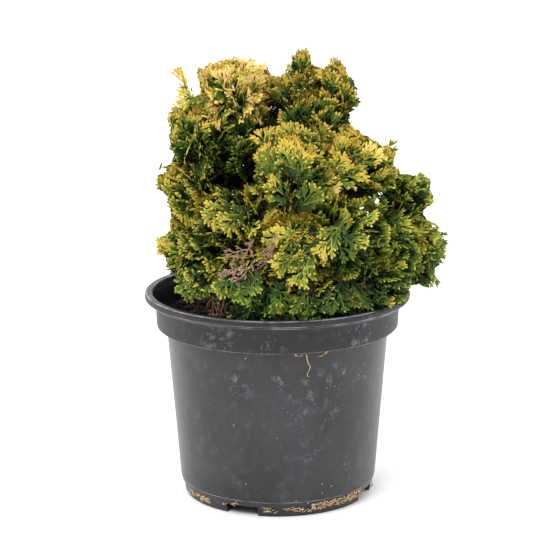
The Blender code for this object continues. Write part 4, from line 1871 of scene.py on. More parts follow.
@dataclass(frozen=True)
class FanRule:
    """How a fan branches: an axis, side branches in turn, and fingers on those in turn."""

    branch_step: float = 4.2 * MM
    branch_angle: float = math.radians(39)
    finger_step: float = 2.5 * MM
    finger_angle: float = math.radians(30)
    finger_length: float = 8.0 * MM
    finger_width: float = 2.2 * MM
    stem_width: float = 1.6 * MM
    first_finger: float = 3.4 * MM
    lift: float = 0.24
    jitter: float = 0.17

    def envelope(self, share: float) -> float:
        """Gives the fan's half width at a share of its length, from 0 to 1."""
        return min(1.0, 0.4 + 1.6 * share) * (1.0 - share**2.4) ** 0.6

    def grow(self, rng: random.Random, length: float, half_width: float) -> Fan:
        """Lays out one fan.

        Args:
            rng: The source of chance.
            length: The fan's length.
            half_width: Half its greatest width.

        Returns:
            The fan.
        """
        rows: list[tuple[float, ...]] = []
        bend = rng.uniform(-0.2, 0.2)
        steps = max(3, round(length / (9 * MM)))
        for k in range(steps):
            x, on = length * k / steps, length * (k + 1) / steps
            y, on_y = bend * x * x / length, bend * on * on / length
            heading = math.atan2(on_y - y, on - x)
            width = self.stem_width * (1.3 - 0.4 * k / steps)
            rows.append((x, y, heading, (on - x) * 1.06, width, on / length * 0.85, 0.0, 1.0))
        side = rng.choice((-1, 1))
        x = rng.uniform(0.06, 0.14) * length
        while x < 0.88 * length:
            share = x / length
            heading = math.atan(2 * bend * share)
            spread = self.branch_angle * (1.14 - 0.5 * share) + rng.uniform(-self.jitter, self.jitter)
            reach = half_width * self.envelope(share) * rng.uniform(0.72, 1.15) / math.sin(spread)
            reach = min(reach, (1.03 * length - x) / math.cos(spread) - 0.4 * self.finger_length)
            reach = max(reach, 3.6 * MM)
            self.branch(rows, rng, (x, bend * x * x / length), heading + side * spread, reach, length)
            x += self.branch_step * rng.uniform(0.8, 1.25)
            side = -side
        for turn in (-0.55, 0.55, 0.03):
            tip = (length * 0.86, bend * length * 0.75)
            heading = math.atan(2 * bend) + turn
            rows.append((*tip, heading, self.finger_length * 0.85, self.finger_width, 1.0, 0.0, 0.0))
        table = np.array(rows)
        return Fan(length, table[:, :2], *table[:, 2:].T)

    def branch(
        self,
        rows: list[tuple[float, ...]],
        rng: random.Random,
        start: tuple[float, float],
        heading: float,
        reach: float,
        length: float,
    ) -> None:
        """Adds a side branch and its fingers.

        Args:
            rows: The fan's fingers so far.
            rng: The source of chance.
            start: Where the branch leaves the axis.
            heading: Its direction in the fan's plane.
            reach: Its length.
            length: The fan's length.
        """
        ahead = (math.cos(heading), math.sin(heading))
        lift = rng.uniform(-self.lift, self.lift) * 0.6

        def out_at(run: float) -> float:
            """Gives how far out in the fan a point of the branch is."""
            x, y = start[0] + ahead[0] * run, start[1] + ahead[1] * run
            return min(1.0, math.hypot(x / length, 1.1 * y / length) * 1.05)

        rows.append((*start, heading, reach, self.stem_width, out_at(reach * 0.7), lift, 1.0))
        flank = rng.choice((-1, 1))
        run = self.first_finger * rng.uniform(0.7, 1.1)
        while run < reach - 1.0 * MM:
            small = 1 - 0.36 * run / reach
            finger = self.finger_length * small * rng.uniform(0.78, 1.22)
            turn = heading + flank * (self.finger_angle + rng.uniform(-self.jitter, self.jitter))
            place = (start[0] + ahead[0] * run, start[1] + ahead[1] * run)
            width = self.finger_width * rng.uniform(0.88, 1.12)
            tip = rng.uniform(-self.lift, self.lift)
            rows.append((*place, turn, finger, width, out_at(run + finger * 0.6), tip, 0.0))
            run += self.finger_step * rng.uniform(0.85, 1.15)
            flank = -flank
        rows.append(
            (
                start[0] + ahead[0] * reach * 0.86,
                start[1] + ahead[1] * reach * 0.86,
                heading,
                self.finger_length * 0.7,
                self.finger_width,
                out_at(reach),
                lift,
                0.0,
            )
        )


@dataclass(frozen=True)
class Layer:
    """One layer of a mass's sprays, from the lapped outer ones to the shaded inner ones."""

    area: float
    foot_out: tuple[float, float]
    tip_out: tuple[float, float]
    foot_sweep: float
    tip_sweep: float
    swing: float
    roll: float
    # How much brighter the layer's tints run; the negative values of the inner and bridging layers are
    # painted shade.
    light: float


LAPPED = Layer(325 * MM * MM, (0.2, 0.44), (0.84, 1.0), -0.3, 0.42, 0.3, 0.5, 0.0)
RADIAL = Layer(950 * MM * MM, (0.0, 0.28), (0.86, 1.04), -0.15, 0.3, 0.42, 1.2, 0.0)
INNER = Layer(700 * MM * MM, (-0.1, 0.2), (0.6, 0.82), -0.1, 0.1, 0.6, 1.6, -0.22)

BRIDGING = Layer(950 * MM * MM, (0.35, 0.6), (1.05, 1.3), -0.1, 0.1, 0.3, 1.2, -0.14)


@dataclass(frozen=True)
class SprayRule:
    """How the fans lie over a mass, by the frame's rule carried finer."""

    least: int = 6
    jitter: float = 0.3
    wander: float = 0.2
    radial: float = 0.45
    rise: tuple[float, float] = (-0.22, 0.3)
    level: float = 250 * MM
    rise_span: float = 120 * MM
    crown_heart: tuple[float, float, float] = (0.0, 0.01, 0.235)
    face_up: float = 0.45
    face_out: float = 0.25
    face_swing: float = 0.4
    face_on: float = 0.2
    facing_in: float = -0.8
    half_width: tuple[float, float] = (0.34, 0.56)
    droop: float = 0.14
    cup: float = 0.28
    slack: float = 8 * MM

    def aims(self, mass: Mass, rng: random.Random, area: float) -> Iterator[Vector]:
        """Gives the directions of a mass's sprays.

        Args:
            mass: The mass.
            rng: The source of chance.
            area: How much of the mass's surface each spray has.

        Yields:
            Its growth first, then directions spread evenly round its middle.
        """
        surface = 4 * math.pi * (sum(mass.half) / 3) ** 2
        count = max(self.least, round(surface / area))
        phase = rng.uniform(0, math.tau)
        yield mass.growth
        for k in range(count):
            height = 1 - 2 * (k + 0.5) / count
            turn = math.pi * (3 - math.sqrt(5)) * k + phase + rng.uniform(-self.jitter, self.jitter)
            level = math.sqrt(1 - height * height)
            aim = Vector((level * math.cos(turn), level * math.sin(turn), height))
            aim = (aim + self.chance(rng, self.wander)).normalized()
            if min(aim.dot(mass.outward), aim.dot(mass.growth)) > self.facing_in:
                yield aim

    def chance(self, rng: random.Random, spread: float) -> Vector:
        """Gives a random vector of about the given length."""
        return Vector([rng.gauss(0, spread) for _ in range(3)])

    def lay(self, mass: Mass, aim: Vector, layer: Layer, rng: random.Random) -> tuple[Matrix, float]:
        """Lays a spray of a layer over the mass.

        Args:
            mass: The mass.
            aim: The spray's direction from the mass's middle.
            layer: The layer.
            rng: The source of chance.

        Returns:
            The matrix that places it, foot at the origin, and its length.
        """
        up = UP
        radial = (mass.middle - Vector(self.crown_heart)).normalized()
        rise = (mass.middle.z - self.level) / self.rise_span * self.rise[1]
        rise = min(max(rise, self.rise[0]), self.rise[1])
        growth = mass.growth + radial * self.radial + up * rise + self.chance(rng, layer.swing)
        growth.normalize()
        sweep = growth - aim * growth.dot(aim)
        towards = (aim + sweep * layer.tip_sweep).normalized()
        tip = mass.middle + towards * mass.reach(towards) * rng.uniform(*layer.tip_out)
        foot_out = rng.uniform(*layer.foot_out)
        foot = mass.middle + (aim * foot_out + sweep * layer.foot_sweep) * mass.reach(aim)
        face = aim + up * self.face_up + mass.outward * self.face_out
        face = (face + self.chance(rng, self.face_swing)).normalized()
        return self.between(foot, tip, face, rng.uniform(-layer.roll, layer.roll))

    def between(self, foot: Vector, tip: Vector, face: Vector, roll: float) -> tuple[Matrix, float]:
        """Lays a spray from its foot to its tip.

        Args:
            foot: The spray's foot.
            tip: The spray's tip.
            face: The way that its upper side looks, roughly.
            roll: Its turn about its own length.

        Returns:
            The matrix that places it, foot at the origin, and its length.
        """
        length = (tip - foot).length
        along = (tip - foot) / length
        flat = face.cross(along)
        side = flat if flat.length > self.face_on else along.cross(UP)
        side = Matrix.Rotation(roll, 3, along) @ side.normalized()
        turn = Matrix((along, side, along.cross(side))).transposed().to_4x4()
        return Matrix.Translation(foot) @ turn, length


@dataclass(frozen=True)
class SkyGap:
    """A place where the photograph shows sky through the crown, in its pixels."""

    across: float
    down: float
    radius: float


SKY_GAPS = tuple(
    SkyGap(*gap)
    for gap in (
        (291, 48, 6), (314, 49, 5), (362, 208, 2.6), (371, 197, 2.2), (377, 201, 2.2), (369, 213, 2.0),
        (381, 193.5, 1.8), (390, 209, 1.6), (275, 106.5, 1.6), (271, 111, 1.6), (260, 119, 1.4),
        (266, 118.5, 1.4), (252, 93, 1.5), (254.5, 150, 1.5), (243.5, 165, 1.9), (197.5, 142.5, 1.3),
        (161, 128, 9.5), (161, 142, 8.5), (164, 157, 8.5), (158, 200, 9), (159, 215, 11), (160, 227, 9),
        (160, 262, 6), (190, 72, 4.5), (193, 82, 5), (196, 90, 3.5), (170, 84, 7.5), (173, 93, 3),
        (210, 54, 8), (222, 49, 10), (249, 50, 8), (262, 54, 7.5), (277, 67, 8.5), (285, 58, 4),
        (320, 58, 8.5), (350, 58, 8), (356, 68, 9), (363, 80, 8), (366, 92, 8), (362, 116, 9),
        (359, 120, 9), (368, 126, 9), (378, 132, 9), (384, 140, 5.5), (403, 160, 8), (413, 167, 8),
        (404, 168, 5), (439, 186, 8.5), (442, 198, 7.5), (433, 213, 8.5), (443, 272, 7), (418, 293, 8),
    )
)


@dataclass(frozen=True)
class Shoot:
    """A spray that the photograph shows by itself: its tip's pixel and its depth along Y."""

    mass: str
    across: float
    down: float
    depth_mm: float
    length_mm: float
    lean: tuple[float, float]  # where its foot lies from its tip, across and up, as shares
    half_width: float = 0.36
    tint: Tint | None = None


def shoots(*groups: tuple) -> tuple[Shoot, ...]:
    """Makes shoots, from each mass's name and the rest of each one's values in turn."""
    return tuple(Shoot(mass, *rest) for mass, *rests in groups for rest in rests)


LEADING_SHOOTS = shoots(
    ("middle_spire", (302, 49, 20, 34, (0.05, -1.0), 0.26, GOLD),
        (309, 52, 14, 30, (-0.25, -1.0), 0.3, AMBER), (292, 66, 10, 30, (0.35, -1.0), 0.34, GOLD),
        (316, 74, 14, 34, (-0.2, -1.0), 0.4, GREEN), (320, 86, 6, 34, (-0.3, -1.0), 0.45, GREEN),
        (306, 80, 4, 34, (0.1, -1.0), 0.45, GREEN)),
    ("heart", (312, 92, 0, 34, (0.1, -1.0), 0.5, GREEN), (328, 100, 4, 34, (-0.2, -1.0), 0.5, OLIVE)),
    ("right_crest", (338, 60, 2, 34, (-0.2, -1.0), 0.4, AMBER),
        (348, 86, -4, 32, (-0.6, -0.8), 0.42, AMBER), (355, 96, 0, 30, (-0.9, -0.45), 0.4, OLIVE),
        (326, 70, -14, 28, (0.2, -1.0), 0.42, AMBER)),
    ("left_crest", (238, 58, -20, 34, (0.1, -1.0), 0.5, CREAM),
        (262, 64, -12, 34, (-0.5, -0.9), 0.4, CREAM), (216, 70, -18, 30, (0.5, -0.9), 0.4, GOLD),
        (199, 71, -10, 28, (0.45, -0.9), 0.3, OLIVE), (206, 72, -16, 26, (0.3, -1.0), 0.32, OLIVE)),
    ("left_shoulder", (182, 70, -24, 26, (0.3, -1.0), 0.24, AMBER),
        (184, 79, -24, 24, (0.35, -1.0), 0.32, AMBER), (188, 89, -24, 26, (0.2, -1.0), 0.4, OLIVE)),
    # The deep shoots fill the dark hollow in the middle of the crown: real sprays whose deep tints paint its
    # shade.
    ("hollow_left", (244, 207, 0, 42, (0.0, 1.0), 0.5, DEEP), (258, 209, 18, 44, (0.1, 1.0), 0.5, DEEP)),
    ("front_spire", (284, 214, 0, 42, (0.0, 1.0), 0.5, DEEP), (240, 200, 30, 42, (-0.2, 1.0), 0.5, DEEP)),
    ("hollow_left", (234, 195, 24, 42, (0.0, 1.0), 0.5, DEEP)),
    ("front_spire", (300, 208, 10, 42, (0.1, 1.0), 0.5, DEEP),
        (262, 148, -92, 34, (0.4, -1.0), 0.34, AMBER), (285, 144, -96, 36, (0.15, -1.0), 0.32, GOLD),
        (300, 152, -98, 36, (0.0, -1.0), 0.34, AMBER), (274, 180, -99, 36, (0.5, -1.0), 0.34, GOLD),
        (312, 186, -96, 38, (-0.3, -1.0), 0.4, OLIVE)),
    ("right_shoulder", (381, 152, -66, 42, (-1.0, -0.45), 0.26, CREAM),
        (362, 172, -74, 42, (-1.0, -0.35), 0.28, GOLD), (346, 158, -74, 34, (-0.9, -0.6), 0.3, GOLD),
        (338, 184, -76, 36, (-1.0, -0.1), 0.32, CREAM)),
    ("left_shoulder", (174, 107, -26, 34, (1.0, 0.1), 0.3, AMBER),
        (178, 97, -34, 32, (1.0, 0.25), 0.32, GOLD), (173, 120, -22, 30, (1.0, 0.45), 0.34, AMBER),
        (174, 134, -26, 40, (1.0, 0.7), 0.34, OLIVE), (178, 152, -30, 42, (0.9, 0.9), 0.34, OLIVE),
        (196, 164, -40, 44, (0.7, 1.0), 0.34, OLIVE), (212, 108, -30, 36, (0.2, -1.0), 0.44, OLIVE)),
    ("left_crest", (224, 112, -30, 34, (-0.2, 1.0), 0.44, OLIVE)),
    ("hollow_left", (226, 120, -8, 34, (0.3, -1.0), 0.5, DEEP)),
    ("right_shoulder", (355, 134, -40, 32, (-0.7, -0.8), 0.42, AMBER),
        (378, 146, -34, 36, (-1.0, -0.5), 0.34, GOLD), (397, 145, -20, 38, (-0.8, -0.8), 0.26, OLIVE),
        (344, 140, -56, 30, (-0.5, -0.9), 0.4, GOLD)),
    ("front_spire", (293, 124, -62, 34, (0.1, -1.0), 0.34, GOLD),
        (258, 133, -66, 32, (0.5, -0.9), 0.32, AMBER), (304, 131, -70, 30, (-0.2, -1.0), 0.4, GOLD),
        (322, 124, -50, 32, (-0.5, -0.9), 0.34, OLIVE), (290, 140, -84, 34, (0.1, -1.0), 0.36, AMBER),
        (276, 160, -84, 38, (0.3, -1.0), 0.36, GOLD), (318, 196, -60, 40, (-0.2, -1.0), 0.44, OLIVE)),
    ("front_right", (318, 214, -30, 40, (0.2, -1.0), 0.5, DEEP),
        (331, 208, -20, 40, (-0.3, -1.0), 0.5, DEEP), (322, 216, -50, 40, (-0.1, -1.0), 0.5, DEEP)),
    ("mid_left", (158, 181, -22, 34, (1.0, 0.2), 0.32, OLIVE),
        (165, 171, -26, 34, (1.0, 0.35), 0.34, GOLD), (163, 191, -28, 30, (1.0, 0.1), 0.34, LIME)),
    ("low_left", (157, 244, -22, 34, (1.0, 0.25), 0.36, LIME),
        (166, 238, -26, 32, (1.0, 0.3), 0.34, GOLD), (168, 266, -30, 32, (0.8, 0.75), 0.34, LIME)),
    ("right_arm", (424, 181, 0, 36, (-1.0, -0.35), 0.4, LIME),
        (432, 195, 4, 36, (-1.0, 0.0), 0.38, GREEN), (412, 183, -8, 32, (-0.8, -0.5), 0.36, GREEN),
        (398, 182, -4, 30, (-0.5, -0.8), 0.36, DEEP)),
    ("low_right", (446, 246, 0, 40, (-1.0, 0.15), 0.42, GREEN),
        (443, 262, -6, 34, (-1.0, 0.35), 0.4, LIME), (439, 286, -4, 38, (-0.85, 0.75), 0.36, LIME),
        (428, 288, -14, 34, (-0.6, 0.9), 0.36, GREEN), (438, 230, 6, 34, (-1.0, 0.0), 0.4, GREEN)),
    ("front_left", (186, 300, -78, 40, (0.35, 1.0), 0.42, LIME),
        (204, 297, -84, 34, (-0.1, 1.0), 0.4, LIME)),
    ("front_middle", (218, 294, -116, 34, (0.75, 0.85), 0.36, GOLD),
        (232, 298, -118, 34, (0.5, 1.0), 0.42, GOLD), (246, 292, -118, 34, (0.3, 1.0), 0.42, GOLD)),
    ("front", (267, 240, -119, 40, (1.0, 0.3), 0.26, GOLD), (278, 246, -121, 40, (1.0, 0.45), 0.28, GOLD),
        (278, 274, -123, 44, (0.85, 0.7), 0.28, GOLD), (290, 280, -125, 44, (0.8, 0.8), 0.26, GOLD),
        (304, 270, -126, 46, (0.75, 0.8), 0.3, GOLD), (318, 254, -126, 40, (0.8, 0.7), 0.3, GOLD)),
    ("front_right", (354, 252, -112, 32, (-0.95, 0.35), 0.4, OLIVE),
        (366, 240, -108, 30, (-1.0, 0.2), 0.34, GOLD)),
    ("brow_left", (204, 214, -98, 32, (1.0, 0.3), 0.34, GOLD),
        (222, 226, -102, 32, (0.9, 0.6), 0.36, GOLD)),
    ("skirt_front", (250, 306, -117, 34, (0.3, 1.0), 0.44, LIME),
        (268, 312, -118, 34, (0.1, 1.0), 0.44, LIME), (286, 310, -118, 34, (-0.2, 1.0), 0.44, GOLD)),
    ("skirt_front_right", (306, 314, -117, 34, (-0.1, 1.0), 0.44, LIME),
        (330, 312, -114, 36, (0.4, 0.9), 0.4, GOLD)),
    ("skirt_front", (238, 312, -108, 32, (0.4, 1.0), 0.42, OLIVE),
        (258, 319, -110, 32, (0.2, 1.0), 0.44, LIME), (277, 321, -110, 32, (0.0, 1.0), 0.46, GREEN),
        (290, 320, -111, 30, (0.6, 0.9), 0.38, GOLD)),
    ("skirt_front_right", (303, 317, -112, 34, (1.0, 0.35), 0.3, GOLD),
        (320, 318, -108, 30, (0.1, 1.0), 0.46, GREEN), (340, 313, -106, 30, (0.3, 1.0), 0.44, LIME)),
    ("skirt_right", (356, 310, -98, 30, (0.2, 1.0), 0.44, GREEN),
        (378, 298, -88, 30, (-0.4, 1.0), 0.42, GREEN), (362, 304, -98, 36, (-0.5, 0.9), 0.44, LIME),
        (388, 286, -84, 36, (-0.8, 0.7), 0.4, LIME)),
)
WITHERED_SHOOTS = shoots(
    ("front_middle", (223, 281, -121, 28, (0.9, 0.7), 0.26), (236, 284, -123, 26, (0.7, 0.85), 0.24),
        (240, 262, -121, 24, (0.5, 1.0), 0.3), (226, 251, -119, 22, (1.0, 0.2), 0.3)),
    ("front", (264, 275, -126, 30, (0.2, 1.0), 0.3), (263, 253, -123, 22, (0.5, 1.0), 0.32)),
    ("front_left", (202, 312, -86, 30, (0.75, 0.9), 0.3), (216, 316, -92, 30, (0.55, 1.0), 0.26)),
    ("skirt_front", (241, 320, -104, 22, (0.2, 1.0), 0.3)),
)


TINT_LEVELS = (-0.14, 0.08, 0.26, 0.4, 0.56, 0.76)
TIP_LIFT = 0.07
DARK_TINTS = (SHADE, DEEP, GREEN)
STALK_TINTS = {
    DEEP: (SHADE, DEEP, DEEP, DEEP, GREEN, GREEN, OLIVE),
    GREEN: (SHADE, DEEP, DEEP, GREEN, GREEN, OLIVE, LIME),
    OLIVE: (*DARK_TINTS, GREEN, OLIVE, OLIVE, OLIVE),
    LIME: (*DARK_TINTS, OLIVE, LIME, LIME, GOLD),
    GOLD: (*DARK_TINTS, OLIVE, LIME, GOLD, GOLD),
    AMBER: (*DARK_TINTS, OLIVE, OLIVE, GOLD, GOLD),
    CREAM: (*DARK_TINTS, OLIVE, GOLD, CREAM, CREAM),
}
TIP_TINTS = {
    DEEP: (SHADE, DEEP, DEEP, GREEN, GREEN, OLIVE, OLIVE),
    GREEN: (SHADE, DEEP, GREEN, GREEN, OLIVE, LIME, LIME),
    OLIVE: (*DARK_TINTS, OLIVE, OLIVE, GOLD, AMBER),
    LIME: (*DARK_TINTS, LIME, LIME, GOLD, GOLD),
    GOLD: (*DARK_TINTS, LIME, GOLD, GOLD, AMBER),
    AMBER: (*DARK_TINTS, OLIVE, GOLD, AMBER, AMBER),
    CREAM: (*DARK_TINTS, LIME, GOLD, CREAM, GOLD),
}


@dataclass
class Foliage:
    """The crown: fans over every mass, darker ones within in painted shade, and the twigs to their feet."""

    masses: list[Mass]
    pot: NurseryPot
    soil_top: float = 171 * MM
    fan_rule: FanRule = field(default_factory=FanRule)
    spray_rule: SprayRule = field(default_factory=SprayRule)
    dry_rule: FanRule = FanRule(
        branch_step=4.4 * MM,
        finger_step=2.9 * MM,
        finger_length=4.6 * MM,
        finger_width=1.7 * MM,
        stem_width=1.2 * MM,
        lift=0.8,
        jitter=0.4,
    )
    inner_rule: FanRule = FanRule(
        branch_step=5.4 * MM,
        finger_step=3.1 * MM,
        finger_length=8.2 * MM,
        finger_width=3.3 * MM,
        first_finger=4.2 * MM,
    )
    inner_patterns: int = 10
    patterns: int = 30
    bough_sprays: int = 16
    trunk_sprays: int = 56
    limb_room: float = 2.6 * MM
    twig_radius: float = 0.75 * MM
    twig_tip_radius: float = 0.45 * MM
    twig_sides: int = 3
    twig_spans: int = 3
    edge_room: float = 1.5 * MM
    free_slack: float = 50 * MM
    falloff: float = 5.0
    outline: tuple[float, float] = (1.9, 0.35)
    behind: float = 32 * MM
    ease_behind: float = 0.5
    flank_inside: float = 50 * MM
    flank_top: float = 290 * MM
    slack_behind: float = 15 * MM
    soil_room: float = 2 * MM
    rim_room: float = 1.2 * MM
    collar_room: float = 3 * MM
    gap_room: float = 0.8  # pixels
    share_weight: float = 0.9
    share_middle: float = 0.7
    # out_weight and out_middle paint shade on fingers deep in a mass; up_weight paints light on its upper
    # side.
    out_weight: float = 0.8
    out_middle: float = 0.88
    up_weight: float = 0.16
    score_spread: float = 0.08
    bias_spread: float = 0.13
    withered_curl: float = 3.2
    # The sprays along the limbs take darker tints: painted shade.
    limb_light: float = -0.3
    limb_slack: float = 45 * MM
    lead_light: float = -0.06
    lead_roll: float = 0.55
    lead_inward: float = 0.35
    lead_slack: float = 60 * MM

    def __post_init__(self) -> None:
        """Lays out the fan patterns and the limbs' lines."""
        self.rng = random.Random(SEED + 2)
        self.numbers = np.random.default_rng(SEED + 3)
        self.stores: dict[tuple[Tint, Region], MeshStore] = {}
        self.twigs = MeshStore()
        self.grown_in: dict[tuple[Tint, Region], set[str]] = {}
        self.by_name = {mass.name: mass for mass in self.masses}
        self.fans = []
        for k in range(self.patterns):
            length = (22 + 24 * k / (self.patterns - 1)) * MM
            half = length * self.rng.uniform(*self.spray_rule.half_width)
            self.fans.append(self.fan_rule.grow(self.rng, length, half))
        self.inner_fans = []
        for _ in range(self.inner_patterns):
            length = self.rng.uniform(26, 40) * MM
            self.inner_fans.append(self.inner_rule.grow(self.rng, length, length * 0.5))
        starts, ends = [], []
        paths = [TRUNK.path(), *(mass.bough for mass in self.masses if mass.bough)]
        for path in paths:
            fine = [on_curve(path, share / 10) for share in range(11)]
            starts += fine[:-1]
            ends += fine[1:]
        self.limb_starts, self.limb_ends = np.array(starts), np.array(ends)

    def near_limb(self, points: np.ndarray) -> np.ndarray:
        """Tells which points lie too near the trunk or a bough.

        Args:
            points: An array of points.

        Returns:
            True or False for each.
        """
        run = self.limb_ends - self.limb_starts
        away = points[:, None, :] - self.limb_starts[None]
        share = np.clip((away * run).sum(-1) / (run * run).sum(-1), 0, 1)
        nearest = np.linalg.norm(away - share[..., None] * run, axis=-1).min(axis=1)
        room = self.limb_room + np.maximum(0, 0.26 - points[:, 2]) * 0.05
        return nearest < room

    def allowed(self, mass: Mass, feet: np.ndarray, tips: np.ndarray, slack: float) -> np.ndarray:
        """Tells which fingers have room.

        Args:
            mass: The mass that they belong to.
            feet: The fingers' feet.
            tips: The fingers' tips.
            slack: How far past the mass's walls they may go.

        Returns:
            True or False for each.
        """
        fine = mass.holds(tips, slack) & mass.holds(feet, slack)
        if slack < self.free_slack:
            near = np.exp([self.falloff * (1 - one.depth(tips)) for one in self.masses])
            flank = (tips[:, 1] > 0) & (tips[:, 0] < self.flank_inside) & (tips[:, 2] < self.flank_top)
            ease = np.where((tips[:, 1] > self.behind) | flank, self.ease_behind, 1.0)
            fine &= near.sum(axis=0) > self.rng.gauss(*self.outline) * ease
        for points in (feet, tips):
            level = np.hypot(points[:, 0], points[:, 1])
            above = points[:, 2] > self.pot.height + self.rim_room
            fine &= points[:, 2] > self.soil_top + self.soil_room
            fine &= above | (level < self.pot.collar_radius - self.collar_room)
            fine &= (points > np.array(CAD_LOW) + self.edge_room).all(axis=1)
            fine &= (points < np.array(CAD_HIGH) - self.edge_room).all(axis=1)
        fine &= ~self.near_limb((feet + tips) / 2)
        shown = PHOTO.pixels((feet + tips) / 2)
        ends = PHOTO.pixels(tips)
        for gap in SKY_GAPS:
            for seen in (shown, ends):
                away = np.hypot(seen[:, 0] - gap.across, seen[:, 1] - gap.down)
                fine &= away > gap.radius + self.gap_room
        return fine

    def scores(self, mass: Mass, fan: Fan, places: np.ndarray, bias: float) -> np.ndarray:
        """Rates how bright every finger of a spray is.

        Args:
            mass: The mass.
            fan: The spray's pattern.
            places: Where each finger's tip is.
            bias: How much brighter this spray is than the others.

        Returns:
            A number for each finger, from about 0 in the shade to 1 at the gilded tips.
        """
        # The out term is painted shade deep in the mass, over the greener inner leaves; the up term is
        # painted light on its upper side, partly the real gold of its exposed top.
        out = np.clip(mass.depth(places), 0.3, 1.0)
        up = (places[:, 2] - mass.middle.z) / mass.half.z
        score = mass.gilding + bias + self.share_weight * (fan.shares - self.share_middle)
        score = score + self.out_weight * (out - self.out_middle) + self.up_weight * up
        return score + self.numbers.normal(0, self.score_spread, len(score))

    def keep(self, mass: Mass, tint: Tint, points: np.ndarray, faces: np.ndarray) -> None:
        """Takes in the same part of several fingers in one tint.

        Args:
            mass: The mass that they belong to.
            tint: Their tint.
            points: Six points for each finger.
            faces: The faces of one finger's part.
        """
        if not len(points):
            return
        key = (tint, mass.region)
        numbered = (faces[None] + 6 * np.arange(len(points))[:, None, None]).reshape(-1, 3)
        self.stores.setdefault(key, MeshStore()).add(points, numbered)
        self.grown_in.setdefault(key, set()).add(mass.name)

    def pattern(self, length: float) -> Fan:
        """Picks one of the fan patterns of about the given length."""
        near = min(range(len(self.fans)), key=lambda k: abs(self.fans[k].length - length))
        return self.fans[min(max(near + self.rng.randint(-2, 2), 0), len(self.fans) - 1)]

    def place(
        self,
        mass: Mass,
        fan: Fan,
        matrix: Matrix,
        length: float,
        bias: float,
        flush: Tint | None = None,
        slack: float | None = None,
        withered: bool = False,
    ) -> bool:
        """Places one fan and keeps the fingers that have room.

        Args:
            mass: The mass that it belongs to.
            fan: Its pattern.
            matrix: The matrix that lays its foot and its plane.
            length: Its length.
            bias: How much brighter it is than the others.
            flush: The tints that it runs to, or None for the mass's own.
            slack: How far past the mass's walls it may go.
            withered: True for a dead spray, curled and thin.

        Returns:
            True if any finger had room.
        """
        rule = self.spray_rule
        local = fan.points() * (length / fan.length)
        local[..., 1] *= self.rng.choice((-1, 1))
        curl = self.withered_curl if withered else 1.0
        droop = rule.droop * curl * self.rng.uniform(0.3, 1.7)
        cup = rule.cup * curl * self.rng.uniform(0.2, 1.6)
        x, y = local[..., 0], local[..., 1]
        local[..., 2] -= droop * x * x / length + cup * y * y / length
        turn = np.array(matrix.to_3x3())
        points = local @ turn.T + np.array(matrix.translation)
        feet = points[:, 0:3].mean(axis=1)
        tips = points[:, 6:9].mean(axis=1)
        if slack is None:
            slack = self.slack_behind if mass.middle.y > self.behind else rule.slack
        kept = self.allowed(mass, feet, tips, slack)
        if not kept.any():
            return False
        if withered:
            tip = self.rng.choice((DEAD, ASHEN))
            self.keep(mass, DEAD, points[kept, 0:6], STALK_FACES)
            self.keep(mass, tip, points[kept, 3:9], TIP_FACES)
            return True
        score = self.scores(mass, fan, tips, bias)
        key = flush or mass.tips
        stalks = np.searchsorted(TINT_LEVELS, score)
        ends = np.searchsorted(TINT_LEVELS, score + TIP_LIFT * (1 - fan.stems))
        stem = fan.stems > 0.5
        for level in range(len(TINT_LEVELS) + 1):
            stalk, tip = STALK_TINTS[key][level], TIP_TINTS[key][level]
            here, there = kept & (stalks == level), kept & (ends == level)
            pale = stalk if stalk is not CREAM else BLUSH
            self.keep(mass, pale, points[here & stem, 0:6], STALK_FACES)
            self.keep(mass, stalk, points[here & ~stem, 0:6], STALK_FACES)
            self.keep(mass, pale, points[there & stem, 3:9], TIP_FACES)
            self.keep(mass, tip, points[there & ~stem, 3:9], TIP_FACES)
        return True

    def twig(self, root: Vector, foot: Vector, ahead: Vector) -> None:
        """Adds the twig that carries a spray.

        Args:
            root: Where it leaves the stem.
            foot: The spray's foot.
            ahead: The spray's own direction.
        """
        run = foot - root
        if run.length < 1 * MM:
            return
        bend = root + run * 0.55 - ahead * 0.12 * run.length
        path = arc(root, bend, foot, self.twig_spans)
        thick, thin = self.twig_radius, self.twig_tip_radius
        radii = [thick + (thin - thick) * k / self.twig_spans for k in range(self.twig_spans + 1)]
        self.twigs.add(*tube(path, radii, self.twig_sides))

    def stem(self, mass: Mass) -> None:
        """Adds a mass's stem.

        Args:
            mass: The mass.
        """
        path = [on_curve(mass.stem, k / 12) for k in range(13)]
        start = LIMB.tip_radius if mass.bough else TRUNK.tip_radius
        radii = [start + (LIMB.stem_tip_radius * 0.8 - start) * k / 12 for k in range(13)]
        self.twigs.add(*tube(path, radii, 7))

    def cover(self, mass: Mass) -> None:
        """Grows the sprays of one mass, layer by layer.

        Args:
            mass: The mass.
        """
        rule, rng = self.spray_rule, self.rng
        self.stem(mass)
        for layer in (LAPPED, RADIAL, INNER, BRIDGING):
            for aim in rule.aims(mass, rng, layer.area):
                matrix, length = rule.lay(mass, aim, layer, rng)
                fan = rng.choice(self.inner_fans) if layer is INNER else self.pattern(length)
                bias = layer.light + rng.gauss(0, self.bias_spread)
                if self.place(mass, fan, matrix, length, bias):
                    self.twig(mass.root_for(aim), matrix.translation, matrix.col[0].xyz)

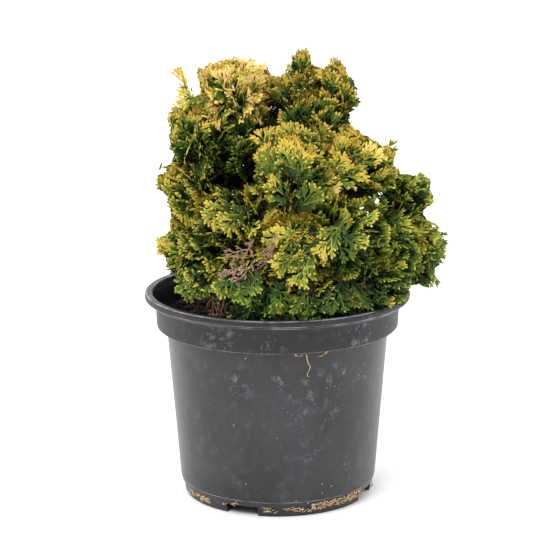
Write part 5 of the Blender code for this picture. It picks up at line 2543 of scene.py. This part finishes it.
    def clothe(self, path: Sequence[Vector], count: int, first: float, owner: Mass | None) -> None:
        """Grows shaded sprays along a limb, so that the crown is full between its masses.

        Args:
            path: The limb's middle line.
            count: The number of sprays.
            first: Where they start, as a share of the limb.
            owner: The mass at the limb's end, or None to take the nearest one.
        """
        rng = self.rng
        for k in range(count):
            share = first + (0.98 - first) * (k + rng.random()) / count
            root = on_curve(path, share)
            ahead = (on_curve(path, share + 0.02) - on_curve(path, share - 0.02)).normalized()
            side = ahead.orthogonal().normalized()
            side = Matrix.Rotation(2.4 * k + rng.uniform(-0.5, 0.5), 3, ahead) @ side
            out = (side + ahead * rng.uniform(0.3, 1.0)).normalized()
            foot = root + out * 5 * MM
            tip = foot + out * rng.uniform(24, 38) * MM
            face = (self.spray_rule.chance(rng, 0.6) + Vector((0, 0, 0.8))).normalized()
            matrix, length = self.spray_rule.between(foot, tip, face, rng.uniform(-1, 1))
            mass = owner or min(self.masses, key=lambda one: (one.middle - tip).length)
            fan = rng.choice(self.inner_fans)
            bias = self.limb_light + rng.gauss(0, self.score_spread)
            if self.place(mass, fan, matrix, length, bias, None, self.limb_slack):
                self.twig(root, foot, out)

    def lead(self, shoot: Shoot, withered: bool) -> None:
        """Grows one spray that the photograph shows by itself.

        Args:
            shoot: The spray.
            withered: True for a dead one.
        """
        mass = self.by_name[shoot.mass]
        depth = shoot.depth_mm * MM
        tip = PHOTO.at_depth(shoot.across, shoot.down, depth)
        _, up, forward = PHOTO.axes()
        lean = Vector((shoot.lean[0], 0, shoot.lean[1])).normalized()
        inward = (mass.middle - tip).normalized()
        back = (lean + inward * self.lead_inward).normalized()
        foot = tip + back * shoot.length_mm * MM
        face = (mass.outward - forward * 1.4 + up * 0.5).normalized()
        roll = self.rng.uniform(-self.lead_roll, self.lead_roll)
        matrix, length = self.spray_rule.between(foot, tip, face, roll)
        rule = self.dry_rule if withered else self.fan_rule
        fan = rule.grow(self.rng, length, length * shoot.half_width)
        if self.place(mass, fan, matrix, length, self.lead_light, shoot.tint, self.lead_slack, withered):
            self.twig(mass.root_for(-inward), foot, (tip - foot).normalized())

    def build(self, effects: Effects) -> None:
        """Grows the crown and joins it into pieces.

        Args:
            effects: The shared shader groups.
        """
        for mass in self.masses:
            self.cover(mass)
            if mass.bough:
                self.clothe(mass.bough, self.bough_sprays, 0.3, mass)
        self.clothe(TRUNK.path(), self.trunk_sprays, 0.25, None)
        for shoot in LEADING_SHOOTS:
            self.lead(shoot, False)
        for shoot in WITHERED_SHOOTS:
            self.lead(shoot, True)
        finishes = {leaf.tint: leaf.build(effects) for leaf in LEAF_FINISHES}
        for (tint, region), store in sorted(self.stores.items(), key=lambda item: str(item[0])):
            name = f"{tint.value}_{region.value}"
            nodes = sorted(self.grown_in[(tint, region)])
            add_piece(name, store.mesh(name), [finishes[tint]], nodes, Slot.FOLIAGE)
        bark = BarkFinish("twig_bark", (0.13, 0.06, 0.03), (0.1, 0.1, 0.03)).build(effects)
        add_piece("twigs", self.twigs.mesh("twigs"), [bark], [], Slot.BARK)


@dataclass(frozen=True)
class FloorFinish(Finish):
    """A pale floor with faint clouds."""

    colour: Colour
    name: str = "studio_floor"
    darker: float = 0.99

    def looks(self, effects: Effects, nodes: NodeTree) -> dict[str, Value]:
        """Lays the clouds.

        Args:
            effects: The shared shader groups; not used.
            nodes: The material's nodes.

        Returns:
            What the Principled shader's sockets take.
        """
        tone = nodes.span(nodes.noise(nodes.place(), 3.0), 0.3, 0.7)
        pale = tuple(self.darker * value for value in self.colour)
        colour = nodes.blend(tone, self.colour, pale)
        return {"Base Color": colour, "Roughness": 0.9, "Specular IOR Level": 0.1}


@dataclass(frozen=True)
class Studio:
    """A pale floor under plain soft light."""

    floor_size: float = 40.0
    floor_colour: Colour = (0.93, 0.93, 0.93)
    floor_level: float = -0.2 * MM
    sky_behind: float = 2.0
    sky_before: float = 0.24
    key_power: float = 50.0
    key_size: float = 1.4
    key_place: tuple[float, float, float] = (-0.9, -1.5, 2.2)
    fill_power: float = 7.0
    fill_size: float = 1.2
    fill_place: tuple[float, float, float] = (1.6, -1.2, 1.2)
    lamps_aim: tuple[float, float, float] = (0, 0, 0.25)

    def floor(self, effects: Effects) -> None:
        """Lays the floor, which isn't part of the object.

        Args:
            effects: The shared shader groups.
        """
        shape = bmesh.new()
        bmesh.ops.create_grid(shape, x_segments=4, y_segments=4, size=self.floor_size / 2)
        made = add_shape("floor", shape)
        made.data.materials.append(FloorFinish(self.floor_colour).build(effects))
        made.location.z = self.floor_level

    def lamp(self, name: str, place: Sequence[float], power: float, size: float) -> None:
        """Hangs a soft lamp that looks at the plant.

        Args:
            name: The lamp's name.
            place: Where it hangs.
            power: Its strength in watts.
            size: The side of its square face.
        """
        data = bpy.data.lights.new(name, "AREA")
        data.energy = power
        data.size = size
        made = add_object(name, data)
        made.location = place
        aim = Vector(self.lamps_aim) - Vector(place)
        made.rotation_euler = aim.to_track_quat("-Z", "Y").to_euler()

    def build(self, effects: Effects) -> None:
        """Sets the floor, the lamps, the surroundings and the picture's plain tones.

        Args:
            effects: The shared shader groups.
        """
        self.floor(effects)
        self.lamp("key_lamp", self.key_place, self.key_power, self.key_size)
        self.lamp("fill_lamp", self.fill_place, self.fill_power, self.fill_size)
        world = bpy.data.worlds.new("surroundings")
        world.use_nodes = True
        nodes = NodeTree(world.node_tree)
        around = nodes.add("ShaderNodeTexCoord").outputs["Generated"]
        depth = nodes.add("ShaderNodeSeparateXYZ", {"Vector": around}).outputs["Y"]
        light = nodes.span(depth, -0.9, 0.4, self.sky_before, self.sky_behind)
        nodes.feed(world.node_tree.nodes["Background"], {"Strength": light, "Color": (1, 1, 1)})
        scene = bpy.context.scene
        scene.world = world
        scene.view_settings.view_transform = "Standard"


def main() -> None:
    """Builds the pot, the soil, the limbs and the crown, then the studio and the camera."""
    logging.basicConfig(level=logging.INFO, format="%(message)s")
    effects = Effects()
    pot = NurseryPot()
    pot.build(effects)
    soil = SoilBed(pot)
    soil.build(effects)
    PotLitter(pot, soil).build(effects)
    masses = crown_masses()
    Limbs(masses).build(effects)
    Foliage(masses, pot).build(effects)
    Studio().build(effects)
    PHOTO.build()


if __name__ == "__main__":
    main()
